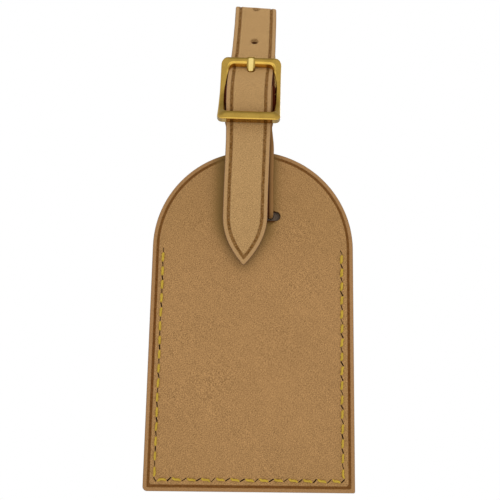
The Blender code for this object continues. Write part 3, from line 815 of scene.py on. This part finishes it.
def painted_tag_shade(u, v):
    """Painted shade on the tag: the shadow beside and under the strap's tail, a painted falloff darker away
    from the tag's lower middle, and near-black painted shade on the front slot's wall.
    """
    half = np.interp(v, [-38.2, -36.0, -32.0, -28.0, -23.0, 2.0], [0.0, 1.9, 4.3, 6.0, 7.1, 7.3])
    off = np.hypot(np.maximum(0, np.abs(u + 2.75) - half), np.maximum(0, -37.0 - v))
    # painted shadow beside and under the strap's tail
    tail_shadow = 0.40 * bell(off, 0, 4.6) * (0.5 + 0.5 * ease(v, -36.0, -24.0))
    # painted falloff: the tag darker away from its lower middle
    painted_vignette = 0.13 * ease(np.hypot(u, v + 66.0), 20.0, 52.0)
    # painted shade: the front slot's wall near black
    slot_wall = distance(np.column_stack([u, v]), slot_front) < 0.03
    return np.where(slot_wall, 0.9, np.maximum(tail_shadow, painted_vignette))


front = sheet("front_leather", outline, [slot_front], slit_pits(PIT_DEPTH), extra, front_face, front_back,
              tag_put, painted_shade=painted_tag_shade)
dress(front, tag_leather, "tag", "tag_leather", "front_panel")

window = stepped(rounded_box(WINDOW_W, WINDOW_H, WINDOW_R, WINDOW_Z), 1.3)


def back_face(u, v, rim, cut):
    base = swell(u, v, 0.08, 19.0, 6.4)
    w = rounding(rim, EDGE_R) + np.where(v > -30, rounding(cut, 0.3), 0) + crease(rim, 1.66, 0.5, 0.17)
    return w + (base + slit_pull(u, v)) * ease(rim, 0.2, 1.2)


def back_inner(u, v, rim, cut):
    return LEATHER - rounding(rim, 0.3) - rounding(cut, 0.2)


def back_put(u, v, w):
    return np.column_stack([u, TAG_T - w, v])


extra = np.vstack([border_rows, around(window, EDGE_ROWS + CREASE_ROWS), around(slot_back, SLOT_ROWS),
                   grid(2.1, outline, 6.0)])
back = sheet("back_leather", outline, [slot_back, window], slit_pits(BACK_PIT_DEPTH), extra, back_face,
             back_inner, back_put, rim_cuts=[1])
dress(back, back_leather, "tag", "tag_leather", "back_panel")

# ---- the strap
HALF_W = STRAP_W / 2
STRAP_R = 0.5
insets = [0.0, 0.067, 0.25, 0.5, 0.66, 1.25, 1.42, 1.6, 1.8, 2.0, 2.18, 2.35, 2.7]
COLUMNS = np.array(sorted(set([HALF_W - d for d in insets] + [-HALF_W + d for d in insets]
                              + list(np.linspace(-HALF_W + 3.9, HALF_W - 3.9, 5)))))


def strap_face(u, v, rim, cut):
    w = rounding(rim, STRAP_R) + rounding(cut, 0.16) + crease(rim, 1.8, 0.52, 0.17)
    return w + (swell(u, v, 0.05, 9.0, 1.7) - 0.05 * bell(cut, 0.5, 0.4)) * ease(rim, 0.2, 1.2)


def strap_back(u, v, rim, cut):
    return STRAP_T - rounding(rim, STRAP_R) - rounding(cut, 0.12)


def painted_strap_shade(u, v):
    """Painted shade on the strap: dark where the leather turns round the bar and on the rear run's edges,
    seen in the buckle's gaps, on the foot run beside the tail, and painted shadows under the buckle's two
    bars.
    """
    side = ease(np.abs(v), 5.8, 6.7)
    # painted shade where the leather turns round the bar and on the rear run's edges, seen in the buckle's
    # gaps
    turn_band = between(u, S_BAR - 14, S_BAR - 11, S_BAR + 12, S_BAR + 16) * side
    rear = between(u, s_rear(46.0), s_rear(38.0), S_SLOT - 8, S_SLOT - 3) * side
    # painted shade on the foot run beside the tail, darkest next to the tail's edge
    foot = between(u, S_SLOT, S_SLOT + 2, S_BAR - 14, S_BAR - 10) * ease(v, 3.2, 4.4)
    foot = foot * (0.92 - 0.34 * ease(v, 5.6, 6.2))
    # painted shadows under the buckle's top and bottom bars
    bar_shadows = 0.34 * (bell(u, s_front(8.1), 0.6) + bell(u, s_front(28.0), 0.8))
    return np.max([turn_band, 0.85 * rear, foot, bar_shadows], axis=0)


stations = line.stations(S_JOIN, line.length)
strap_outline = np.vstack([np.column_stack([stations, np.full(len(stations), -HALF_W)]),
                           np.column_stack([np.full(len(COLUMNS) - 2, line.length), COLUMNS[1:-1]]),
                           np.column_stack([stations[::-1], np.full(len(stations), HALF_W)]),
                           np.column_stack([np.full(len(COLUMNS) - 2, S_JOIN), COLUMNS[1:-1][::-1]])])
edge_mask = np.ones(len(strap_outline), bool)
edge_mask[2 * len(stations) + len(COLUMNS) - 3:] = False
S_HOLE = nearest(-2.05, 26.95, 0, S_APEX)
S_REF = nearest(-0.72, 29.2, 0, S_APEX)
holes = [stadium(S_HOLE, 0.05, 2.6, 2.5, n=10)]
holes += [arc(S_REF + d, 0.0, 1.3, 0, 360, 28)[:-1] for d in (12.05, 29.4)]
holes.append(stadium(S_BAR, 0.0, 2 * (math.pi / 2 * WRAP_R + 1.2), 3.2, n=8))
body_rows = np.array([(s, c) for s in stations[1:-1] for c in COLUMNS[1:-1]])
near_hole = np.min([distance(body_rows, h) for h in holes], axis=0)
extra = np.vstack([body_rows[near_hole > 0.45]] + [around(h, [0.05, 0.16, 0.3]) for h in holes])
strap = sheet("strap_leather", strap_outline, holes, [], extra, strap_face, strap_back, strap_put,
              finished=edge_mask, painted_shade=painted_strap_shade, raw_cuts=True)
dress(strap, strap_leather, "strap", "strap_leather", "strap")


TIP_R = 0.9


def tail_half(h):
    """Half width of the tail at a height above its tip."""
    point = HALF_W * (1 - (1 - np.clip((h + 0.28) / 16.2, 0, 1)) ** 2.1)
    blunt = np.sqrt(np.maximum(0.0, TIP_R ** 2 - np.maximum(0, TIP_R - h) ** 2)) + 0.95 * max(0, h - 0.3)
    return np.minimum(point, blunt)


tail_s = line.stations(0.0, S_JOIN, longest=1.6)
steps = np.unique(np.r_[np.linspace(0, 1, 22)[1:] ** 1.8 * 16.0, tail_s[tail_s > 16.3]])
side = np.array([(h, tail_half(h)) for h in steps])
tip = np.array([(0.02, 0.0)])
tail_outline = np.vstack([tip, np.column_stack([side[:, 0], -side[:, 1]]),
                          np.column_stack([np.full(len(COLUMNS) - 2, S_JOIN), COLUMNS[1:-1]]), side[::-1]])
edge_mask = np.ones(len(tail_outline), bool)
edge_mask[len(steps):len(steps) + len(COLUMNS) - 1] = False
strip = np.array([(s, c) for s in tail_s[tail_s > 17.0][:-1] for c in COLUMNS[1:-1]])
open_grid = np.array([(s, c) for s in np.arange(1.0, 17.0, 1.3) for c in np.arange(-6.5, 6.6, 1.3)])
open_grid = open_grid[distance(open_grid, tail_outline) > 2.9]
tip_rows = rows_inside(tail_outline, insets[1:])
tip_rows = tip_rows[tip_rows[:, 0] < 16.8]
tail = sheet("tail_leather", tail_outline, [], [], np.vstack([strip, open_grid, tip_rows]), strap_face,
             strap_back, strap_put, finished=edge_mask, painted_shade=painted_strap_shade)
dress(tail, strap_leather, None, "strap_leather", "strap_tail")
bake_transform(tail)


# ---- sewing thread
YARN_R, TACK_R, TWIST_PITCH, YARN_SIDES = 0.43, 0.24, 1.7, 12


def yarn(name, points, radius):
    """Three-ply twisted thread along a line of datum points. It is drawn thicker higher up the tag."""
    p = stepped(np.array(points), 0.25, closed=False)
    for _ in range(3):
        p[1:-1] = 0.25 * p[:-2] + 0.5 * p[1:-1] + 0.25 * p[2:]
    s = lengths(p)
    fine = np.linspace(0, s[-1], int(s[-1] / 0.2) + 2)
    p = np.column_stack([np.interp(fine, s, p[:, k]) for k in range(3)])
    t = tangents(p)
    up = np.zeros_like(t)
    up[0] = np.cross(t[0], (0.3, 1.0, 0.2))
    for i in range(1, len(t)):
        up[i] = up[i - 1] - t[i] * (up[i - 1] @ t[i])
    up /= np.linalg.norm(up, axis=1)[:, None]
    side_dir = np.cross(t, up)
    verts, lobe, flat = [], [], []
    for i, q in enumerate(p):
        size = radius * np.interp(q[2], [-104.0, -80.0, -40.0], [0.84, 0.9, 1.08])
        for k in range(YARN_SIDES):
            a = 2 * math.pi * k / YARN_SIDES
            bulge = abs(math.cos(1.5 * (a - 2 * math.pi * fine[i] / TWIST_PITCH / 3)))
            r = size * (0.74 + 0.26 * bulge ** 0.7)
            verts.append(q + (side_dir[i] * math.cos(a) + up[i] * math.sin(a)) * r)
            lobe.append(bulge)
            flat.append((fine[i], radius * a, 0.0))
    layers = {"flat": np.array(flat), "lobe": lobe}
    return finish_mesh(name, verts, tube_faces(len(p), YARN_SIDES), layers, 80.0)


def leaving(here, there, dx, dz):
    """Direction in which the thread leaves a slit, between the slit's own and the seam's."""
    seam = (there - here) / np.linalg.norm(there - here)
    slit = np.array([dx, dz]) * (1 if dx * seam[0] + dz * seam[1] > 0 else -1)
    mid = 0.45 * slit + 0.55 * seam
    return mid / np.linalg.norm(mid)


def seam_line():
    """Where the thread runs: x, z and height above the face, over each stitch and down each slit."""
    path = []
    last = len(SLITS) - 1
    for i, (cx, cz, dx, dz, h) in enumerate(SLITS):
        here = np.array([cx, cz])

        def dive(there):
            d = leaving(here, there, dx, dz)
            return [(*(here + d * (h + 0.30)), -0.02), (*(here + d * (h + 0.18)), -1.5)]
        if i > 0:
            path += dive(np.array(SLITS[i - 1][:2]))
        path.append((cx, cz, -1.6))
        if i < last:
            there = np.array(SLITS[i + 1][:2])
            path += dive(there)[::-1]
            for share, lift in ((0.32, 0.09), (0.5, 0.11), (0.68, 0.09)):
                path.append((*(here + (there - here) * share), lift + rng.uniform(-0.02, 0.03)))
    return path


seam_path = seam_line()
seam_yarn = yarn("seam_yarn", [(x, -lift, z) for x, z, lift in seam_path], YARN_R)
dress(seam_yarn, yarn_material("seam_yarn", (0.53, 0.355, 0.040)), "tag", "thread", "seam_thread")
bobbin_yarn = yarn("bobbin_yarn", [(x, TAG_T + lift, z) for x, z, lift in seam_line()], YARN_R)
dress(bobbin_yarn, yarn_material("bobbin_yarn", (0.51, 0.34, 0.045)), "tag", "thread", "bobbin_thread")

TACK_Z = 5.0
rear_y = REAR_FOOT + (-2.9 - REAR_FOOT) * (TACK_Z + 18.0) / 27.4 - HALF_T - 0.05
fold_y = -0.56 - 0.42 * (TACK_Z - 2.4) / 7.0 + HALF_T + 0.05
middle = (rear_y + fold_y) / 2
x0 = float(np.interp(S_BAR - 14, lean_s, lean_x))
tack = [(-4.5, middle), (-4.5, rear_y), (-1.5, rear_y), (-1.5, fold_y), (1.5, fold_y), (1.5, rear_y),
        (4.5, rear_y), (4.5, middle)]
tack_yarn = yarn("tack_yarn", [(x0 + x, y, TACK_Z) for x, y in tack], TACK_R)
dress(tack_yarn, yarn_material("tack_yarn", (0.50, 0.33, 0.06)), "strap", "thread", "strap_stitch")


# ---- the buckle
def frame_lean(z):
    return np.interp(z, [8.0, 31.0], [-2.35, -1.95])


def prong_lean(z):
    return np.interp(z, [18.0, 31.0], [-2.1, -1.95])


def frame_world(x, b, h):
    """Buckle coordinates (across, forward, up along the frame) to datum millimetres."""
    c, s = math.cos(FRAME_TILT), math.sin(FRAME_TILT)
    y, z = BAR_Y - b * c + h * s, BAR_Z + b * s + h * c
    return np.array([x + frame_lean(z), y, z])


# Half widths of the frame up its height: outer and inner line, right and left side.
OUTER = (([-13.0, -7.0, 0.0, 13.0], [10.2, 10.25, 10.35, 10.3]),
         ([-13.0, -7.0, 0.0, 13.0], [10.5, 10.25, 10.0, 9.85]))
INNER = (([-9.0, -6.0, -4.5, -0.7, 1.2, 3.4, 5.4, 7.0], [8.1, 8.25, 8.35, 8.3, 8.55, 8.55, 8.15, 7.75]),
         ([-9.0, -6.4, -4.5, -1.9, -0.7, 3.1, 5.0, 7.0], [8.0, 7.98, 7.95, 7.85, 7.68, 7.58, 7.45, 7.2]))


def frame_loop(widths, top, low, r_top, r_low, per_corner=10, per_side=26, per_bar=16):
    """A rounded four-sided line whose half widths change with height."""
    def half(side, z):
        return float(np.interp(z, *widths[side]))
    pts = []
    for side, sign in ((0, 1.0), (1, -1.0)):
        ends = [(r_low, low, -1.0), (r_top, top, 1.0)]
        corner = []
        for r, z, out in ends:
            w = half(side, z - out * r)
            corner.append([(sign * (w - r + r * math.cos(a)), z - out * (r - r * math.sin(a)))
                           for a in (math.radians(90.0 * k / per_corner) for k in range(per_corner + 1))])
        bottom_corner, top_corner = corner[0][::-1], corner[1]
        rail = [(sign * half(side, z), z) for z in np.linspace(low + r_low, top - r_top, per_side)[1:-1]]
        run = bottom_corner + rail + top_corner
        pts.append(run if side == 0 else run[::-1])
    right, left = pts

    def bar(a, b):
        return [(a[0] + (b[0] - a[0]) * k / per_bar, a[1]) for k in range(1, per_bar)]
    return np.array(right + bar(right[-1], left[0]) + left + bar(left[-1], right[0]))


# Sections of the frame, outer edge to inner edge over the front and back behind: share of the width, extra
# width, and height towards the front.
RAIL = [(0, 0, -0.75), (0, 0, 0.25), (0, 0.06, 0.55), (0, 0.2, 0.8), (0, 0.42, 0.97), (0.33, 0, 1.05),
        (0.5, 0, 1.07), (0.67, 0, 1.05), (1, -0.42, 0.95), (1, -0.2, 0.75), (1, -0.06, 0.5), (1, 0, 0.2),
        (1, 0, -0.75), (1, -0.08, -0.95), (1, -0.3, -1.08), (0.5, 0, -1.1), (0, 0.3, -1.08), (0, 0.08, -0.95)]
TOP = [(0, 0, -0.75), (0, 0, 0.2), (0, 0.06, 0.5), (0, 0.2, 0.8), (0, 0.45, 1.0), (0, 0.8, 1.09),
       (1, -1.3, 1.1), (1, -0.98, 1.01), (1, -0.74, 0.85), (1, -0.43, 0.56), (1, -0.37, 0.46),
       (1, -0.2, -0.3), (1, -0.02, -0.85), (1, -0.12, -1.02), (1, -0.4, -1.08), (0.5, 0, -1.1),
       (0, 0.3, -1.08), (0, 0.08, -0.95)]
BOTTOM = [(0, 0.02, -1.35), (0, 0.16, 0.36), (0, 0.0, 0.62), (0, 0.05, 0.84), (0, 0.16, 0.96),
          (0, 0.36, 1.03), (0.34, 0, 1.14), (0.62, 0, 1.17), (1, -0.45, 1.08), (1, -0.17, 0.92),
          (1, -0.04, 0.6), (1, 0, 0.2), (1, 0, -1.2), (1, -0.08, -1.42), (1, -0.3, -1.54), (0.5, 0, -1.58),
          (0, 0.35, -1.56), (0, 0.12, -1.50)]


def brass_frame():
    out_line = frame_loop(OUTER, 11.7, -12.45, 2.1, 1.9)
    in_line = frame_loop(INNER, 8.95, -9.45, 2.0, 1.2)
    verts = []
    for o, i in zip(out_line, in_line):
        across = i - o
        w = np.linalg.norm(across)
        e = across / w
        bow = FRAME_ARCH * ((o[1] + i[1]) / 2 / FRAME_H) ** 2
        up, down = float(ease(o[1], 9.4, 11.4)), float(ease(-o[1], 10.2, 12.1))
        section = (1 - up - down) * np.array(RAIL) + up * np.array(TOP) + down * np.array(BOTTOM)
        for share, more, height in section:
            q = o + e * (share * w + more)
            verts.append(frame_world(q[0], bow + height, q[1]))
    faces = tube_faces(len(out_line), len(RAIL), closed=True)
    return finish_mesh("brass_frame", verts, faces, {}, 60.0)


def lathe_x(name, profile, sides=40):
    """A body turned about the buckle's centre bar. profile is a list of (x, radius)."""
    verts = [frame_world(x, r * math.cos(2 * math.pi * k / sides), r * math.sin(2 * math.pi * k / sides))
             for x, r in profile for k in range(sides)]
    return finish_mesh(name, verts, tube_faces(len(profile), sides), {}, 60.0)


def combine(target, other, kind, sharp=50.0):
    mod = target.modifiers.new(kind.lower(), "BOOLEAN")
    mod.operation, mod.solver, mod.object = kind, "EXACT", other
    mesh = bpy.data.meshes.new_from_object(target.evaluated_get(bpy.context.evaluated_depsgraph_get()))
    target.modifiers.clear()
    old, target.data = target.data, mesh
    bpy.data.meshes.remove(old)
    bpy.data.objects.remove(other, do_unlink=True)
    target.data.shade_smooth()
    target.data.set_sharp_from_angle(angle=math.radians(sharp))


buckle = brass_frame()
combine(buckle, lathe_x("bar", [(-8.8, 0.95), (9.2, 0.95)]), "UNION")
brass = brass_material("cast_brass", (0.78, 0.495, 0.098))
dress(buckle, brass, "buckle", "brass", "buckle_frame")


# The prong's section: share of half the width, share of half the thickness towards the front.
PRONG = [(-0.47, 0.96), (0, 1.0), (0.47, 0.96), (0.66, 0.70), (1.0, 0.0), (0.95, -0.45), (0.6, -0.85),
         (0.0, -1.0), (-0.6, -0.85), (-0.95, -0.45), (-1.0, 0.0), (-0.66, 0.70)]


def prong_shaft():
    """Tapered tongue with a flat facet in front; its foot lies in the ring's wall."""
    c = rounded([(BAR_Y, BAR_Z + 1.3), (-1.35, 25.6), (-5.5, 30.55)], [1.4], 6.0)
    p = stepped(np.array([tuple(q) for q in c]), 0.5, closed=False)
    s = lengths(p)
    total = s[-1]
    fine = np.r_[s[s < total - 1.0], total - np.array([1.0, 0.8, 0.6, 0.42, 0.26, 0.13, 0.04, 0.0])]
    p = np.column_stack([np.interp(fine, s, p[:, 0]), np.interp(fine, s, p[:, 1])])
    verts = []
    for q, d, here in zip(p, tangents(p), fine):
        tip = math.sqrt(max(0.0, 1 - max(0.0, 1 - (total - here) / 0.8) ** 2))
        wide = np.interp(here, [0, 3.0, total - 3.0, total], [0.95, 1.0, 1.36, 1.4]) - 0.3 * (1 - tip)
        thick = np.interp(here, [0, 4.6, 6.4], [0.58, 0.52, 0.38]) - 0.22 * (1 - tip)
        n = np.array([-d[1], d[0]])
        for x, h in PRONG:
            y, z = q + n * (h * thick)
            verts.append((x * wide + prong_lean(z), y, z))
    return finish_mesh("shaft", verts, tube_faces(len(p), len(PRONG)), {}, 60.0)


RING_X, BORE_R, FACET_W, FACET_TOP = 0.25, 1.06, 0.74, 30.1
RING = [(-0.95, 1.45), (-1.0, 1.68), (-0.7, 1.75), (0.7, 1.75), (1.0, 1.68), (0.95, 1.45)]
prong = lathe_x("brass_prong", [(RING_X + x, r) for x, r in RING])
combine(prong, prong_shaft(), "UNION")
combine(prong, lathe_x("bore", [(-4, BORE_R), (4, BORE_R)]), "DIFFERENCE", 30.0)
spots = np.array([v.co[:] for v in prong.data.vertices]) / MM
spot_z = spots[:, 2] - TOP_Z / MM
# painted light on the prong: 1 on its front facet, 0 on its sides
lit_facet = (np.abs(spots[:, 0] - prong_lean(spot_z)) < FACET_W) & (spot_z < FACET_TOP)
prong.data.attributes.new("lit_facet", "FLOAT", "POINT").data.foreach_set("value", lit_facet.astype(np.float32))
# The facet's brass is a lighter copy of the frame's, a painted highlight; the sides' darker brass is a
# painted reflection.
prong_brass = brass_material("prong_brass", (0.88, 0.68, 0.24), (0.42, 0.27, 0.06))
dress(prong, prong_brass, "prong", "brass", "buckle_prong")


# ---- card and window
def plate(name, width, height, radius, y, thick, z_low):
    loop = rounded_box(width, height, radius, z_low + height / 2)
    n = len(loop)
    verts = [(x, side, z) for side in (y, y + thick) for x, z in loop]
    faces = [list(range(n)), list(range(2 * n - 1, n - 1, -1))]
    faces += [[i, (i + 1) % n, n + (i + 1) % n, n + i] for i in range(n)]
    flat = [(x, z, side) for x, side, z in verts]
    return finish_mesh(name, verts, faces, {"flat": np.array(flat)}, 30.0)


ROW_PITCH, ROWS_X, ROWS_LOW, ROWS_TOP = 9.0, 17.5, -92.0, -52.0
card = plate("card_paper", CARD_W, CARD_H, 2.5, CARD_Y, CARD_T, CARD_BOTTOM)
mat, n, shader = material("card_paper")
flat = n.attribute("flat", vector=True)
across, up = n.make("SeparateXYZ", Vector=flat).outputs[:2]
pulp = n.ramp(n.noise(flat, 1.2, 4.0, 0.7), [(0.3, (0.70, 0.67, 0.58)), (0.7, (0.82, 0.79, 0.71))])
rule = n.gap(n.math("FRACT", n.math("DIVIDE", up, ROW_PITCH)), 0.5)
row = n.span(rule, 0.012, 0.022, 1.0, 0.0)
reach = n.span(n.math("ABSOLUTE", across), ROWS_X, ROWS_X + 0.2, 1.0, 0.0)
band = n.times(n.span(up, ROWS_LOW, ROWS_LOW + 0.5), n.span(up, ROWS_TOP, ROWS_TOP + 0.5, 1.0, 0.0))
ink = n.times(n.times(row, reach), band)
n.feed(shader["Base Color"], n.mix(n.times(ink, 0.7), pulp, (0.16, 0.17, 0.19)))
n.feed(shader["Normal"], n.bump(n.noise(flat, 3.0, 3.0), 0.15, 0.00005))
shader["Roughness"].default_value = 0.75
dress(card, mat, "card", "card", "address_card")

film = plate("clear_window", 50.0, 57.5, 2.0, FILM_Y, FILM_T, -100.0)
mat, n, shader = material("clear_window")
ripple = n.noise(n.attribute("flat", vector=True), 0.08, 2.0)
n.feed(shader["Roughness"], n.span(ripple, 0.3, 0.7, 0.07, 0.16))
n.feed(shader["Normal"], n.bump(ripple, 0.25, 0.0006))
shader["Base Color"].default_value = (0.86, 0.88, 0.88, 1.0)
shader["Alpha"].default_value = 0.16
dress(film, mat, "tag", "film", "window_film")


# ---- camera, floor and light
def camera():
    cam = bpy.data.cameras.new("camera")
    cam.sensor_width = 36.0
    cam.lens = 43.2
    cam.clip_start = 0.01
    obj = placed("camera", cam)
    yaw, tilt, roll = math.radians(-1.47), math.radians(8.99), math.radians(-1.02)
    aim = (Matrix.Rotation(yaw, 4, 'Z') @ Matrix.Rotation(tilt, 4, 'X') @ Matrix.Rotation(roll, 4, 'Y')
           @ Matrix.Rotation(math.radians(90), 4, 'X'))
    obj.matrix_world = Matrix.Translation(at(-6.0, -191.9, -63.7)) @ aim
    bpy.context.scene.camera = obj


def lamp(name, place, target, size, watts, mirrored=True, soft=True):
    light = bpy.data.lights.new(name, "AREA")
    light.shape, light.size, light.energy = "DISK", size, watts
    obj = placed(name, light)
    obj.location = place
    obj.rotation_mode = "QUATERNION"
    obj.rotation_quaternion = (Vector(target) - Vector(place)).to_track_quat("-Z", "Y")
    obj.visible_glossy, obj.visible_diffuse = mirrored, soft


def surroundings(soft, low_shine, high_shine):
    """Plain white to the camera, soft grey light on the object and a darker sky in its shiny parts."""
    world = bpy.data.worlds.new("surroundings")
    world.use_nodes = True
    tree = world.node_tree
    n = Nodes(tree)
    back_node = tree.nodes["Background"]
    back_node.inputs["Color"].default_value = (1, 1, 1, 1)
    path = n.make("LightPath")
    heading = n.make("SeparateXYZ", Vector=n.make("TexCoord").outputs["Generated"])
    shine = n.span(heading.outputs[2], 0.60, 1.0, low_shine, high_shine)
    value = soft
    for ray, other in (("Is Glossy Ray", shine), ("Is Camera Ray", 1.0)):
        mix = n.make("Mix")
        for socket, given in ((0, path.outputs[ray]), (2, value), (3, other)):
            n.feed(mix.inputs[socket], given)
        value = mix.outputs[0]
    n.feed(back_node.inputs["Strength"], value)
    bpy.context.scene.world = world
    bpy.context.scene.view_settings.view_transform = "Standard"


FLOOR_DROP, FLOOR_R = 130.0, 0.5


def floor():
    bm = bmesh.new()
    bmesh.ops.create_circle(bm, cap_ends=True, segments=128, radius=FLOOR_R)
    mesh = bpy.data.meshes.new("floor")
    bm.to_mesh(mesh)
    bm.free()
    obj = placed("floor", mesh)
    obj.location = (0, 0, TOP_Z - (TAG_H + FLOOR_DROP) * MM)
    mat, _, shader = material("floor")
    shader["Base Color"].default_value = (0.92, 0.92, 0.92, 1)
    shader["Roughness"].default_value = 0.9
    obj.data.materials.append(mat)


camera()
surroundings(0.94, 0.56, 0.28)
floor()
lamp("key", (0.10, -0.40, 0.45), (0, 0, -0.06), 0.36, 0.62, mirrored=False)
lamp("low", (0.0, -0.46, -0.17), (0, 0, -0.04), 0.32, 0.12, soft=False)
lamp("rear", (0.1, 0.55, 0.35), (0, 0, -0.06), 0.45, 1.0)
